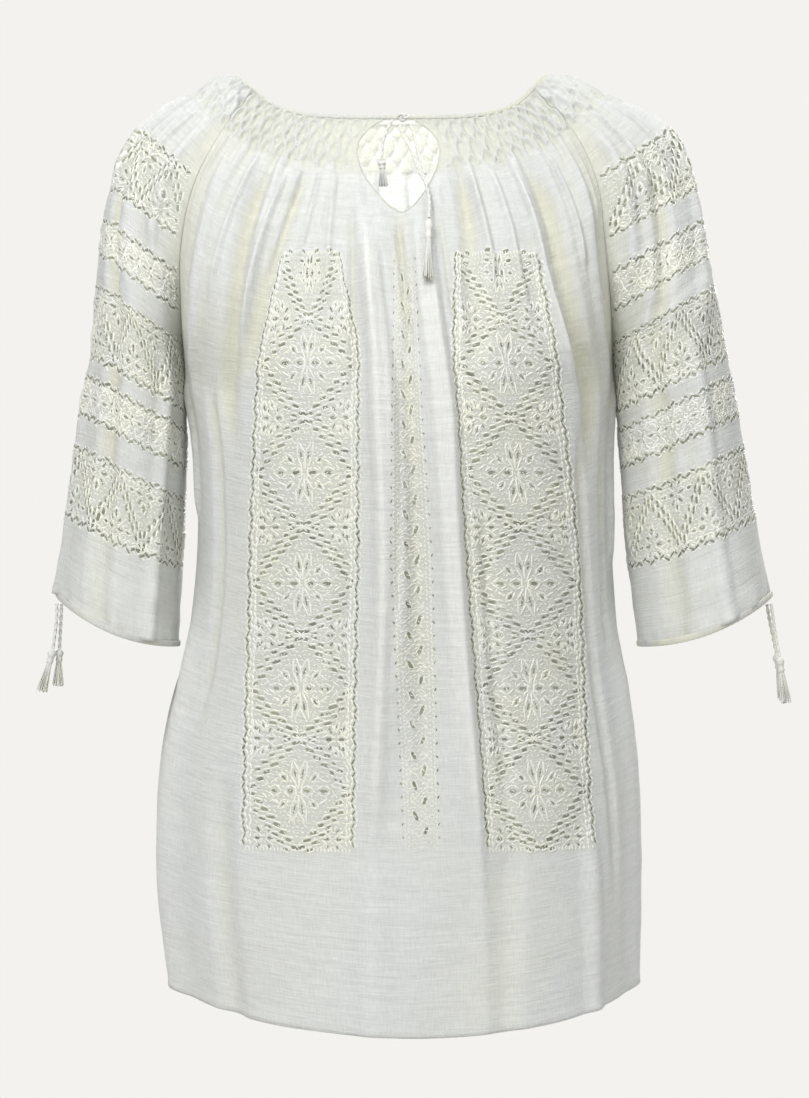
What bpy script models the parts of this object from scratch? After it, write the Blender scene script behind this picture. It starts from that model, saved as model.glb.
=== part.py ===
"""Romanian ie blouse, hollow, in the shape that it has when it is worn.

The torso is a front and a back panel, and each sleeve is one panel. All four are gathered into the neck edge,
where a band of smocking holds the gathers, and a drawstring binding closes the neck over a teardrop slit.

Units are metres. +Z is up, the front faces -Y, and the wearer's right arm is at -X. The origin is the middle
of the line between the two shoulder tops of the neck edge, where the wearer's shoulders carry the blouse.
"""

import math
from collections import namedtuple

import bpy
import numpy as np

MM = 0.001

# Driving sizes
CLOTH = 1.2 * MM
SEAM_GAP = 0.45 * MM
BINDING_THICK = 2.4 * MM
CORD_DIAMETER = 2.6 * MM
CORD_SIDES_RESOLUTION = 2

# Levels count the cloth's sections: 0 is the neck edge, 1 the foot of the smocking and 5 the armpit.
ARMPIT = 5
CUFF = 8
NECK_BINDING_LEVELS = (0.0, 0.12)
PANEL_TOP_LEVEL = 0.145
CASING_LEVELS = (7.925, 8.0)
SLEEVE_END_LEVEL = 7.915

# The torso's sections in millimetres, one row a level. Front and back are the centre lines, side is the side
# seam (below the armpit only), wrap is how far an arc turns from its centre line to its end in degrees, and
# rise is the power with which its height goes from one to the other.
Torso = namedtuple(
    "Torso", "front_x front_y front_z back_x back_y back_z side_x side_y side_z sway wrap rise")
TORSO = [
    Torso(-4, -62, -34, -6, 58, -26, 97, 2, -12, 0, 61, 3.4),
    Torso(-4, -80, -73, -5, 73, -63, 122, 2, -40, 0, 65, 2.6),
    Torso(-1, -99, -119, -3, 86, -107, 142, 2, -80, 0, 70, 2.2),
    Torso(1, -113, -166, -1, 94, -152, 150, 2, -125, 0, 76, 2.0),
    Torso(3, -122, -208, 0, 98, -195, 153, 2, -172, 0, 83, 1.9),
    Torso(4, -126, -247, 0, 99, -232, 154, 2, -212, -4, 90, 1.9),
    Torso(5, -126, -303, 0, 98, -285, 149, 2, -264, -2, 90, 1.9),
    Torso(6, -123, -370, 0, 98, -352, 149, 3, -332, 0, 90, 1.9),
    Torso(7, -121, -440, 0, 100, -420, 155, 4, -404, -1, 90, 1.9),
    Torso(9, -122, -520, 0, 105, -497, 168, 5, -484, -4, 90, 1.9),
    Torso(10, -124, -600, 0, 110, -575, 171, 5, -562, -4, 90, 1.8),
    Torso(11, -126, -678, 0, 114, -655, 166, 5, -641, 0, 90, 1.7),
]

# The sleeve's sections in millimetres, one row a level. Seam is the raglan seam down to the armpit and the
# inner arm line below it, outer is the shoulder and outer arm line, and wrap is the turn from outer to seam.
# Each of the two lines has its own sway to +X, since the blouse hangs a little askew. Dip is how far the
# front and back of the arm hang below the straight line from outer to seam.
Sleeve = namedtuple("Sleeve", "seam_x seam_z seam_sway outer_x outer_z outer_sway half_depth wrap arm_y dip")
SLEEVE = [
    Sleeve(97, -12, -8, 111, 0, -10, 36.6, 55, 2, 0),
    Sleeve(122, -40, -5, 148, -15, -3, 55, 65, 2, 0),
    Sleeve(142, -80, -6, 190, -42, 1, 59, 80, 2, 0),
    Sleeve(150, -125, -8, 210, -85, 0, 58, 105, 2, 0),
    Sleeve(153, -172, -6, 218, -129, 1, 59, 140, 2, 0),
    Sleeve(154, -212, -4, 224, -171, 3, 60, 180, 2, 0),
    Sleeve(156, -270, -1, 234, -231, 5, 60, 180, 2, 0),
    Sleeve(160, -338, 0, 244, -301, 6, 61, 180, 2, 3),
    Sleeve(166, -410, 3, 257, -374, 7, 63, 180, 2, 8),
]

# Half the width of the teardrop slit in millimetres, at heights below the front of the neck edge.
Slit = namedtuple("Slit", "drop half_width")
KEYHOLE = [
    Slit(4, 11),
    Slit(7, 17),
    Slit(12, 22.5),
    Slit(19, 27.5),
    Slit(27, 29),
    Slit(36, 27.5),
    Slit(45, 24),
    Slit(54, 18.5),
    Slit(61, 13),
    Slit(67, 7.5),
    Slit(71, 0),
]

# Folds: across is -1 at the left seam (+1 at the right seam) of a torso arc, and -1 at the front seam of a
# sleeve. Each runs from its top level to its foot level on a curve through three places across the panel.
# Height is in millimetres, negative for a trough.
Fold = namedtuple("Fold", "top foot across_top across_mid across_foot half_width height")
FRONT_FOLDS = [
    Fold(1.3, 9.6, -0.15, -0.06, -0.12, 0.07, 8),
    Fold(1.3, 9.8, 0.05, 0.09, 0.17, 0.07, 8),
    Fold(0.9, 6.0, -0.62, -0.60, -0.57, 0.07, -6),
    Fold(0.9, 6.4, 0.63, 0.66, 0.70, 0.08, -8),
    Fold(0.9, 4.8, -0.42, -0.48, -0.53, 0.06, -5),
    Fold(0.9, 4.4, 0.28, 0.25, 0.23, 0.06, -5),
    Fold(1.0, 5.5, -0.86, -0.83, -0.80, 0.06, 4),
    Fold(1.0, 5.5, 0.86, 0.85, 0.84, 0.06, 4),
    Fold(7.2, 12.5, -0.84, -0.83, -0.82, 0.13, 7),
    Fold(7.4, 12.5, 0.86, 0.86, 0.86, 0.12, 6),
    Fold(8.6, 12.5, -0.55, -0.53, -0.53, 0.07, -5),
    Fold(9.0, 12.5, 0.27, 0.25, 0.26, 0.07, -4),
]
BACK_FOLDS = [
    Fold(0.9, 6.5, -0.60, -0.55, -0.52, 0.08, -6),
    Fold(0.9, 7.5, -0.22, -0.22, -0.20, 0.08, -6),
    Fold(0.9, 7.0, 0.20, 0.21, 0.24, 0.08, -7),
    Fold(0.9, 6.2, 0.58, 0.56, 0.52, 0.08, -6),
    Fold(6.0, 12.5, -0.42, -0.43, -0.45, 0.10, 8),
    Fold(6.5, 12.5, 0.02, 0.03, 0.04, 0.10, 9),
    Fold(6.0, 12.5, 0.46, 0.44, 0.42, 0.10, 8),
    Fold(7.6, 12.5, -0.83, -0.82, -0.80, 0.16, 10),
    Fold(7.6, 12.5, 0.83, 0.82, 0.80, 0.16, 10),
]
SLEEVE_FOLDS = {
    -1: [
        Fold(1.3, 9.5, -0.28, -0.34, -0.48, 0.10, -6),
        Fold(1.1, 3.6, -0.80, -0.76, -0.72, 0.08, 4),
        Fold(1.0, 9.0, 0.36, 0.38, 0.42, 0.10, -6),
        Fold(1.0, 6.0, 0.02, 0.04, 0.06, 0.12, 4),
        Fold(5.2, 9.5, 0.80, 0.80, 0.80, 0.14, 4),
    ],
    1: [
        Fold(1.6, 9.5, -0.58, -0.61, -0.68, 0.10, -6),
        Fold(1.0, 5.5, -0.22, -0.24, -0.30, 0.10, 5),
        Fold(1.0, 9.0, 0.34, 0.38, 0.40, 0.10, -6),
        Fold(1.1, 4.0, -0.84, -0.82, -0.80, 0.08, 4),
        Fold(5.2, 9.5, 0.80, 0.80, 0.80, 0.14, 4),
    ],
}

FRONT_COLUMNS = 44
BACK_COLUMNS = 40
SLEEVE_COLUMNS = 28
FRONT_LEVELS = [PANEL_TOP_LEVEL, 0.25, 0.4, 0.6, 0.85, 1.1, 1.35, 1.6, 1.71, 1.8, 2.3, 2.8, 3.4, 4.0, 4.5,
                5.0, 5.7, 6.6, 7.5, 8.4, 9.3, 10.2, 11.0]
BACK_LEVELS = [PANEL_TOP_LEVEL, 0.6, 1.2, 1.9, 2.7, 3.4, 4.0, 4.5, 5.0, 5.7, 6.6, 7.5, 8.4, 9.3, 10.2, 11.0]
SLEEVE_LEVELS = [PANEL_TOP_LEVEL, 0.5, 1.0, 1.5, 2.0, 2.5, 3.0, 3.5, 4.0, 4.5, 5.0, 5.5, 6.2, 7.0,
                 SLEEVE_END_LEVEL]

WHITE = (0.86, 0.87, 0.83, 1.0)
THREAD = (0.90, 0.90, 0.85, 1.0)


def section(table, level):
    """The table's row at a level that may lie between two rows, on a smooth curve through the rows."""
    rows = np.array(table, float)
    level = min(max(level, 0.0), len(rows) - 1.0)
    i = min(int(level), len(rows) - 2)
    f = level - i
    before, here, there, after = (rows[min(max(i + k, 0), len(rows) - 1)] for k in (-1, 0, 1, 2))
    near, far = (there - before) / 2, (after - here) / 2
    row = (
        here * (2 * f**3 - 3 * f**2 + 1)
        + near * (f**3 - 2 * f**2 + f)
        + there * (3 * f**2 - 2 * f**3)
        + far * (f**3 - f**2)
    )
    return type(table[0])(*row)


def sleeve_point(level, across, side):
    """A point of the sleeve: across is -1 at the front seam, 0 on the outer line and 1 at the back seam."""
    a = section(SLEEVE, level)
    wrap = math.radians(a.wrap)
    turn = across * wrap
    share = (math.cos(turn) - math.cos(wrap)) / (1 - math.cos(wrap))
    seam_x = side * a.seam_x + a.seam_sway
    outer_x = side * a.outer_x + a.outer_sway
    x = seam_x + (outer_x - seam_x) * share
    z = a.seam_z + (a.outer_z - a.seam_z) * share - a.dip * math.sin(turn) ** 2
    return MM * np.array([x, a.arm_y + a.half_depth * math.sin(turn), z])


def torso_end(level, side, face):
    """Where a torso arc ends: on the raglan seam above the armpit, and on the side seam below it."""
    if level < ARMPIT:
        return sleeve_point(level, face, side) - [side * SEAM_GAP, 0, 0]
    t = section(TORSO, level)
    seam = MM * np.array([side * t.side_x + t.sway, t.side_y, t.side_z])
    return seam + [-side * SEAM_GAP, face * SEAM_GAP, 0]


def torso_point(level, across, face):
    """A point of the front (face -1) or back (face 1) panel. Across runs from -1, the left seam, to 1."""
    t = section(TORSO, level)
    end = torso_end(level, 1 if across >= 0 else -1, face)
    centre = MM * np.array([t.front_x, t.front_y, t.front_z] if face < 0 else [t.back_x, t.back_y, t.back_z])
    wrap = math.radians(t.wrap)
    turn = abs(across) * wrap
    share = [
        math.sin(turn) / math.sin(wrap),
        (1 - math.cos(turn)) / (1 - math.cos(wrap)),
        abs(across) ** t.rise,
    ]
    return centre + (end - centre) * share


def smooth_step(x):
    x = min(max(x, 0.0), 1.0)
    return x * x * (3 - 2 * x)


def fold_height(folds, level, across):
    """How far the folds lift the cloth off its section at a point, in metres."""
    total = 0.0
    for f in folds:
        run = (level - f.top) / (f.foot - f.top)
        if not 0 < run < 1:
            continue
        middle = (
            f.across_top * (1 - run) * (1 - 2 * run)
            + f.across_mid * 4 * run * (1 - run)
            + f.across_foot * run * (2 * run - 1)
        )
        off = abs(across - middle) / f.half_width
        if off < 1:
            ends = smooth_step(run / 0.2) * smooth_step((1 - run) / 0.25)
            total += f.height * MM * ends * math.cos(off * math.pi / 2) ** 2
    return total


def seam_fade(across):
    """1 over most of a panel, and 0 at its seams, where the folds die out."""
    return smooth_step((1 - abs(across)) / 0.12)


def outward(points):
    """Unit normals of a grid of points, pointing away from the wearer."""
    down = np.gradient(points, axis=0)
    over = np.gradient(points, axis=1)
    normals = np.cross(down, over)
    return normals / np.maximum(np.linalg.norm(normals, axis=2, keepdims=True), 1e-12)


def folded(points, levels, across, folds):
    """The grid with its folds: across holds the place of each point between the seams."""
    heights = np.array(
        [[fold_height(folds, t, s) * seam_fade(s) for s in row] for t, row in zip(levels, across)]
    )
    return points + outward(points) * heights[:, :, None]


def material(name, colour, roughness):
    found = bpy.data.materials.get(name) or bpy.data.materials.new(name)
    found.use_nodes = True
    shader = found.node_tree.nodes["Principled BSDF"]
    shader.inputs["Base Color"].default_value = colour
    shader.inputs["Roughness"].default_value = roughness
    shader.inputs["Metallic"].default_value = 0.0
    return found


def add_object(name, points, faces, finish):
    mesh = bpy.data.meshes.new(name)
    mesh.from_pydata([tuple(p) for p in points], [], faces)
    mesh.materials.append(finish)
    mesh.shade_smooth()
    obj = bpy.data.objects.new(name, mesh)
    bpy.context.collection.objects.link(obj)
    return obj


def thicken(obj, thickness, offset):
    """Makes a surface a wall. Offset -1 puts the wall on the wearer's side, 0 on both sides."""
    solid = obj.modifiers.new("Cloth", "SOLIDIFY")
    solid.thickness = thickness
    solid.offset = offset
    solid.use_even_offset = False
    solid.use_rim = True


def grid_faces(index, flip=False):
    """Quads between the rows and columns of an array of point numbers, facing out from the wearer."""
    faces = []
    for upper, lower in zip(index[:-1], index[1:]):
        for j in range(len(upper) - 1):
            quad = [upper[j], lower[j], lower[j + 1], upper[j + 1]]
            faces.append(quad[::-1] if flip else quad)
    return faces


def keyhole_across(level, side):
    """Where the slit's edge lies across the front at a level, as a share of the way to the seam."""
    t = section(TORSO, level)
    drop = section(TORSO, 0).front_z - t.front_z
    drops = [k.drop for k in KEYHOLE]
    half = np.interp(drop, drops, [k.half_width for k in KEYHOLE])
    if drop >= drops[-1]:
        return 0.0
    reach = abs(torso_end(level, side, -1)[0] - t.front_x * MM)
    wrap = math.radians(t.wrap)
    return side * math.asin(half * MM / reach * math.sin(wrap)) / wrap


def half_front(side, levels, columns):
    """Grid of one half of the front, from the slit or centre line to the seam."""
    across = []
    for t in levels:
        edge = keyhole_across(t, side)
        across.append([edge + (side - edge) * j / columns for j in range(columns + 1)])
    points = np.array([[torso_point(t, s, -1) for s in row] for t, row in zip(levels, across)])
    return points, across


def front_panel(finish):
    """The front: two halves that share the centre line below the slit."""
    half = FRONT_COLUMNS // 2
    open_rows = sum(keyhole_across(t, 1) != 0 for t in FRONT_LEVELS)
    left, left_across = half_front(-1, FRONT_LEVELS, half)
    right, right_across = half_front(1, FRONT_LEVELS, half)
    whole = np.concatenate([left[:, ::-1], right[:, 1:]], axis=1)
    whole_across = [a[::-1] + b[1:] for a, b in zip(left_across, right_across)]
    lifted = folded(whole, FRONT_LEVELS, whole_across, FRONT_FOLDS)
    # Above the foot of the slit each half keeps its own edge, so its normals come from its own grid.
    left = folded(left[:, ::-1], FRONT_LEVELS, [a[::-1] for a in left_across], FRONT_FOLDS)
    right = folded(right, FRONT_LEVELS, right_across, FRONT_FOLDS)
    left[open_rows:] = lifted[open_rows:, : half + 1]
    right[open_rows:] = lifted[open_rows:, half:]
    rows = len(FRONT_LEVELS)
    count = rows * (half + 1)
    left_index = np.arange(count).reshape(rows, half + 1)
    right_index = left_index + count
    right_index[open_rows:, 0] = left_index[open_rows:, -1]
    points = np.concatenate([left.reshape(-1, 3), right.reshape(-1, 3)])
    faces = grid_faces(left_index.tolist()) + grid_faces(right_index.tolist())
    obj = add_object("front_panel", *without_loose(points, faces), finish)
    thicken(obj, CLOTH, -1)
    return obj


def without_loose(points, faces):
    """The points that the faces use, and the faces with their new numbers."""
    used = sorted({i for face in faces for i in face})
    number = {old: new for new, old in enumerate(used)}
    return points[used], [[number[i] for i in face] for face in faces]


def back_panel(finish):
    across = [[2 * j / BACK_COLUMNS - 1 for j in range(BACK_COLUMNS + 1)]] * len(BACK_LEVELS)
    points = np.array([[torso_point(t, s, 1) for s in row] for t, row in zip(BACK_LEVELS, across)])
    points = folded(points[:, ::-1], BACK_LEVELS, [row[::-1] for row in across], BACK_FOLDS)
    index = np.arange(points.shape[0] * points.shape[1]).reshape(points.shape[:2])
    obj = add_object("back_panel", points.reshape(-1, 3), grid_faces(index.tolist()), finish)
    thicken(obj, CLOTH, -1)
    return obj


def sleeve_panel(name, side, finish):
    """A sleeve: open at the raglan seams, and closed into a tube along the inner arm below the armpit."""
    across = [[2 * j / SLEEVE_COLUMNS - 1 for j in range(SLEEVE_COLUMNS + 1)]] * len(SLEEVE_LEVELS)
    points = np.array([[sleeve_point(t, s, side) for s in row] for t, row in zip(SLEEVE_LEVELS, across)])
    if side > 0:
        points = folded(points, SLEEVE_LEVELS, across, SLEEVE_FOLDS[side])
    else:
        points = folded(points[:, ::-1], SLEEVE_LEVELS, [row[::-1] for row in across], SLEEVE_FOLDS[side])
    points[:, :, 0] += side * SEAM_GAP * 0.5
    index = np.arange(points.shape[0] * points.shape[1]).reshape(points.shape[:2])
    closed = [i for i, t in enumerate(SLEEVE_LEVELS) if t >= ARMPIT]
    index[closed, -1] = index[closed, 0]
    obj = add_object(name, *without_loose(points.reshape(-1, 3), grid_faces(index.tolist())), finish)
    thicken(obj, CLOTH, -1)
    return obj


def neck_ring(level, centre_gap):
    """The neck edge at a level, from the right of the centre gap round the back to its left."""
    def torso_arc(face, start, end, steps):
        return [torso_point(level, start + (end - start) * i / steps, face) for i in range(steps)]

    def sleeve_arc(side, start, end, steps):
        return [sleeve_point(level, start + (end - start) * i / steps, side) for i in range(steps)]

    ring = torso_arc(-1, centre_gap, 1, 12) + sleeve_arc(1, -1, 1, 8)
    ring += torso_arc(1, 1, -1, 20) + sleeve_arc(-1, 1, -1, 8)
    return ring + torso_arc(-1, -1, -centre_gap, 12) + [torso_point(level, -centre_gap, -1)]


def neck_binding(finish):
    """The folded strip round the neck edge, open at the centre front, where the drawstring comes out."""
    centre_gap = 0.006
    rings = [neck_ring(level, centre_gap) for level in NECK_BINDING_LEVELS]
    points = np.array(rings)
    index = np.arange(points.shape[0] * points.shape[1]).reshape(points.shape[:2])
    obj = add_object("neck_binding", points.reshape(-1, 3), grid_faces(index.tolist()), finish)
    thicken(obj, BINDING_THICK, 0)
    return obj


def cuff_casing(name, side, finish):
    """The narrow turned casing at a sleeve's end, which the cuff's drawstring runs through."""
    steps = SLEEVE_COLUMNS
    order = range(steps) if side > 0 else range(steps, 0, -1)
    rings = [[sleeve_point(level, 2 * i / steps - 1, side) for i in order] for level in CASING_LEVELS]
    points = np.array(rings)
    index = np.arange(points.shape[0] * points.shape[1]).reshape(points.shape[:2])
    index = np.concatenate([index, index[:, :1]], axis=1)
    obj = add_object(name, points.reshape(-1, 3), grid_faces(index.tolist()), finish)
    thicken(obj, BINDING_THICK, 0)
    return obj


def smooth_route(points, spacing):
    """Points a spacing apart on a smooth curve through a cord's own points."""
    path = np.array(points, float)
    Place = namedtuple("Place", "x y z")
    table = [Place(*p) for p in path]
    fine = np.array([section(table, level) for level in np.linspace(0, len(path) - 1, 40 * len(path))])
    along = np.concatenate([[0], np.cumsum(np.linalg.norm(np.diff(fine, axis=0), axis=1))])
    at = np.linspace(0, along[-1], max(3, round(along[-1] / spacing)))
    return np.stack([np.interp(at, along, fine[:, k]) for k in range(3)], axis=1)


def cord(name, points, finish):
    route = smooth_route(np.array(points) * MM, 2.5 * CORD_DIAMETER)
    curve = bpy.data.curves.new(name, "CURVE")
    curve.dimensions = "3D"
    curve.bevel_depth = CORD_DIAMETER / 2
    curve.bevel_resolution = CORD_SIDES_RESOLUTION
    curve.use_fill_caps = True
    spline = curve.splines.new("POLY")
    spline.points.add(len(route) - 1)
    for point, place in zip(spline.points, route):
        point.co = (*place, 1.0)
    curve.materials.append(finish)
    obj = bpy.data.objects.new(name, curve)
    bpy.context.collection.objects.link(obj)
    return obj


# A tassel's outline: drop below its top as a share of its length, and radius in millimetres.
Turn = namedtuple("Turn", "drop radius")
TASSEL = [Turn(0, 1.2), Turn(0.05, 2.6), Turn(0.14, 3.2), Turn(0.22, 2.2), Turn(0.34, 3.0), Turn(1.0, 4.6)]
TASSEL_SIDES = 10


def tassel(name, top, foot, finish):
    """A turned solid of a tassel's reach, hanging from top to foot."""
    top, foot = np.array(top) * MM, np.array(foot) * MM
    axis = foot - top
    unit = axis / np.linalg.norm(axis)
    first = np.cross(unit, [0, 1, 0])
    first /= np.linalg.norm(first)
    second = np.cross(unit, first)
    points = []
    for turn in TASSEL:
        for i in range(TASSEL_SIDES):
            a = 2 * math.pi * i / TASSEL_SIDES
            spoke = first * math.cos(a) - second * math.sin(a)
            points.append(top + axis * turn.drop + spoke * turn.radius * MM)
    index = np.arange(len(points)).reshape(len(TASSEL), TASSEL_SIDES)
    faces = grid_faces(np.concatenate([index, index[:, :1]], axis=1).tolist())
    faces.append(index[0].tolist())
    faces.append(index[-1][::-1].tolist())
    return add_object(name, np.array(points), faces, finish)


# Cord routes and tassels' feet in millimetres. A tassel hangs just below its cord. The loop strand has none.
Tie = namedtuple("Tie", "cord tassel_foot")
NECK_TIES = {
    "short": Tie([(-8.4, -69.5, -38), (-12, -71.5, -45), (-15, -74, -54), (-16, -77, -67)],
                 (-14.6, -79, -86)),
    "long": Tie([(-3.4, -70.5, -41.2), (-1, -73.5, -50), (4.5, -78, -60), (9.5, -84.5, -74),
                 (14.5, -89.5, -84), (17.2, -95.5, -96), (17, -103.5, -110)],
                (15.6, -123.5, -154)),
    "loop": Tie([(3.4, -70.5, -40.8), (6.5, -74.5, -48), (10.5, -82.5, -66), (14.8, -89, -78)], None),
}
# The cuff ties' places are outward, to the back and up from the point of the cuff that they leave.
CUFF_TIE_ACROSS = -0.12
CUFF_TIES = {
    "right_a": Tie([(1.5, -1.5, -2.8), (1.5, -2, -12), (2.5, -2.5, -23), (4.2, -3, -35)], (12, -4, -66)),
    "right_b": Tie([(-1.5, 1.5, -3.2), (-1.3, 2, -12), (-0.6, 2.8, -23), (0, 3.5, -35)], (1, 4, -62)),
    "left_a": Tie([(1.4, -1.5, -2.8), (3, -2, -15), (5, -2.6, -28), (7, -3.2, -40)], (12, -4, -74)),
    "left_b": Tie([(-1.4, 1.5, -3.2), (0.4, 2, -14), (3, 2.8, -26), (5.5, 3.5, -38)], (11, 6, -72)),
}
TASSEL_DROP = 0.5
KNOT_RADIUS = 3.0 * MM
KNOT_CENTRE = (-1.0 * MM, -69.2 * MM, -36.2 * MM)
KNOT_SCALE = (1.8, 0.9, 1.0)


def tie_end(name, route, foot, finish):
    cord(name.format("cord"), route, finish)
    if foot is not None:
        tassel(name.format("tassel"), np.array(route[-1]) - [0, 0, TASSEL_DROP], foot, finish)


def ties(finish):
    """The drawstrings' free ends, with a tassel on each."""
    for name, tie in NECK_TIES.items():
        tie_end("neck_{}_" + name, tie.cord, tie.tassel_foot, finish)
    for name, tie in CUFF_TIES.items():
        side = -1 if name.startswith("right") else 1
        exit_point = sleeve_point(CUFF, CUFF_TIE_ACROSS, side) / MM
        route = [exit_point + np.array(p) * [side, 1, 1] for p in tie.cord]
        tie_end("cuff_{}_" + name, route, exit_point + np.array(tie.tassel_foot) * [side, 1, 1], finish)


def neck_knot(finish):
    """The knot that holds the neck closed, in front of the binding's two ends."""
    bpy.ops.mesh.primitive_ico_sphere_add(subdivisions=2, radius=KNOT_RADIUS, location=KNOT_CENTRE)
    knot = bpy.context.object
    knot.name = "neck_knot"
    knot.scale = KNOT_SCALE
    bpy.ops.object.transform_apply(location=False, rotation=False, scale=True)
    knot.data.materials.append(finish)
    knot.data.shade_smooth()


def build():
    for obj in list(bpy.data.objects):
        bpy.data.objects.remove(obj, do_unlink=True)
    cloth = material("gauze_cotton", WHITE, 0.85)
    strip = material("binding_cotton", WHITE, 0.8)
    thread = material("cord_cotton", THREAD, 0.7)
    front_panel(cloth)
    back_panel(cloth)
    # The wearer's right arm is at -X.
    sleeve_panel("sleeve_right", -1, cloth)
    sleeve_panel("sleeve_left", 1, cloth)
    neck_binding(strip)
    cuff_casing("cuff_casing_right", -1, strip)
    cuff_casing("cuff_casing_left", 1, strip)
    neck_knot(thread)
    ties(thread)


build()
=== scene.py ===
import math
from collections import namedtuple

import bpy
import numpy as np
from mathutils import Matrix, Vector


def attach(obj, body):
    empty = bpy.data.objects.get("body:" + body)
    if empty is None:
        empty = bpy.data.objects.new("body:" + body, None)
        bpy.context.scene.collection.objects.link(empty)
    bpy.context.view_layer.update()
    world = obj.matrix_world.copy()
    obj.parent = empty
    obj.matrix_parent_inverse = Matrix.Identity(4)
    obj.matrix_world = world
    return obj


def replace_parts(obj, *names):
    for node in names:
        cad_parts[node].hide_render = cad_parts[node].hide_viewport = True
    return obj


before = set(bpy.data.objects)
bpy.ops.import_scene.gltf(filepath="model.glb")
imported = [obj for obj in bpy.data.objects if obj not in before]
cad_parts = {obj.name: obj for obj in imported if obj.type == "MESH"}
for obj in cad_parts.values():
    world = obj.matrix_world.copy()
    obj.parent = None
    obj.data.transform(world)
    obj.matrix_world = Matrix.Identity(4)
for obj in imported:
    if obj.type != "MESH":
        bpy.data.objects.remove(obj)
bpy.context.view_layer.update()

# A romanian ie blouse of thin cotton gauze, worn by no one: smocked at the neck, embroidered in raised white
# thread and drawn-thread eyelets. Metres, +Z up, front at -Y. Tables are in millimetres, as in the CAD.
MM = 0.001
BODY = "root"
SIDES = {"right": -1, "left": 1}

# Cloth. Heights on it are levels, rows of the tables of sections below.
CLOTH = 0.5 * MM
SEAM_GAP = 0.08 * MM
ARMPIT = 5
PANEL_TOP = 0.10
CREASE_DEPTH = 2.0
SLEEVE_END = 7.94
CUFF = 8.0
HEM = 11.0

# Millimetres of cloth in a level, at the smocking and at the hem, and in a unit of across, by the slit
SMOCK_LEVEL = 42
HEM_LEVEL = 76
FRONT_SPREAD = 150

# How far the hem's seam lies above its edge, in millimetres
HEM_SEAM = 6.6

# The panels' meshes: columns across half of the front, the back and a sleeve, their flat half widths in
# metres, and a run of rows as its first level, its last and its count
FRONT_COLUMNS, BACK_COLUMNS, SLEEVE_COLUMNS = 123, 205, 165
FRONT_HALF, BACK_HALF, SLEEVE_HALF = 0.23, 0.21, 0.12
SMOCKED_RUN = (PANEL_TOP, 1.06, 38)

# Smocking, counted in levels down and pleats across
SMOCK_TOP = 0.14
SMOCK_FOOT = 1.0
SMOCK_ROW = 0.2
SMOCK_SWAY = 0.28
SMOCK_HEIGHT = 3.6
PLEAT_WIDTH = 0.27
PLEATS = {"front": 50, "back": 50, "sleeve": 20}

# Pleats let go below it: smocked pleats that each takes up, its height, and the shortest and longest reach
Loose = namedtuple("Loose", "width tall shortest longest")
LOOSE = [Loose(1.0, 1.6, 0.12, 0.6), Loose(2.0, 2.8, 0.5, 2.2), Loose(3.0, 3.0, 1.0, 3.6)]

# The cloth's sections, one row a level: level 0 is the neck edge, 1 the smocking's foot and 5 the armpit.
Torso = namedtuple(
    "Torso", "front_x front_y front_z back_x back_y back_z side_x side_y side_z sway wrap rise")
TORSO = [
    Torso(-4, -62, -34, -6, 58, -26, 97, 2, -12, 0, 61, 3.4),
    Torso(-4, -80, -73, -5, 73, -63, 122, 2, -40, 0, 65, 2.6),
    Torso(-1, -99, -119, -3, 86, -107, 142, 2, -80, 0, 70, 2.2),
    Torso(1, -113, -166, -1, 94, -152, 150, 2, -125, 0, 76, 2.0),
    Torso(3, -122, -208, 0, 98, -195, 153, 2, -172, 0, 83, 1.9),
    Torso(4, -126, -247, 0, 99, -232, 154, 2, -212, -4, 90, 1.9),
    Torso(5, -126, -303, 0, 98, -285, 149, 2, -264, -2, 90, 1.9),
    Torso(6, -123, -370, 0, 98, -352, 149, 3, -332, 0, 90, 1.9),
    Torso(7, -121, -440, 0, 100, -420, 155, 4, -404, -1, 90, 1.9),
    Torso(9, -122, -520, 0, 105, -497, 168, 5, -484, -4, 90, 1.9),
    Torso(10, -124, -600, 0, 110, -575, 171, 5, -562, -4, 90, 1.8),
    Torso(11, -126, -678, 0, 114, -655, 166, 5, -641, 0, 90, 1.7),
]
Sleeve = namedtuple("Sleeve", "seam_x seam_z seam_sway outer_x outer_z outer_sway half_depth wrap arm_y dip")
SLEEVE = [
    Sleeve(97, -12, -8, 111, 0, -10, 36.6, 55, 2, 0),
    Sleeve(122, -40, -5, 148, -15, -3, 55, 65, 2, 0),
    Sleeve(142, -80, -6, 190, -42, 1, 59, 80, 2, 0),
    Sleeve(150, -125, -8, 210, -85, 0, 58, 105, 2, 0),
    Sleeve(153, -172, -6, 218, -129, 1, 59, 140, 2, 0),
    Sleeve(154, -212, -4, 224, -171, 3, 60, 180, 2, 0),
    Sleeve(156, -270, -1, 234, -231, 5, 60, 180, 2, 0),
    Sleeve(160, -338, 0, 244, -301, 6, 61, 180, 2, 3),
    Sleeve(166, -410, 3, 257, -374, 7, 63, 180, 2, 8),
]
Slit = namedtuple("Slit", "drop half_width")
KEYHOLE = [
    Slit(4, 11), Slit(7, 17), Slit(12, 22.5), Slit(19, 27.5), Slit(27, 29), Slit(36, 27.5),
    Slit(45, 24), Slit(54, 18.5), Slit(61, 13), Slit(67, 7.5), Slit(71, 0),
]

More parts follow.
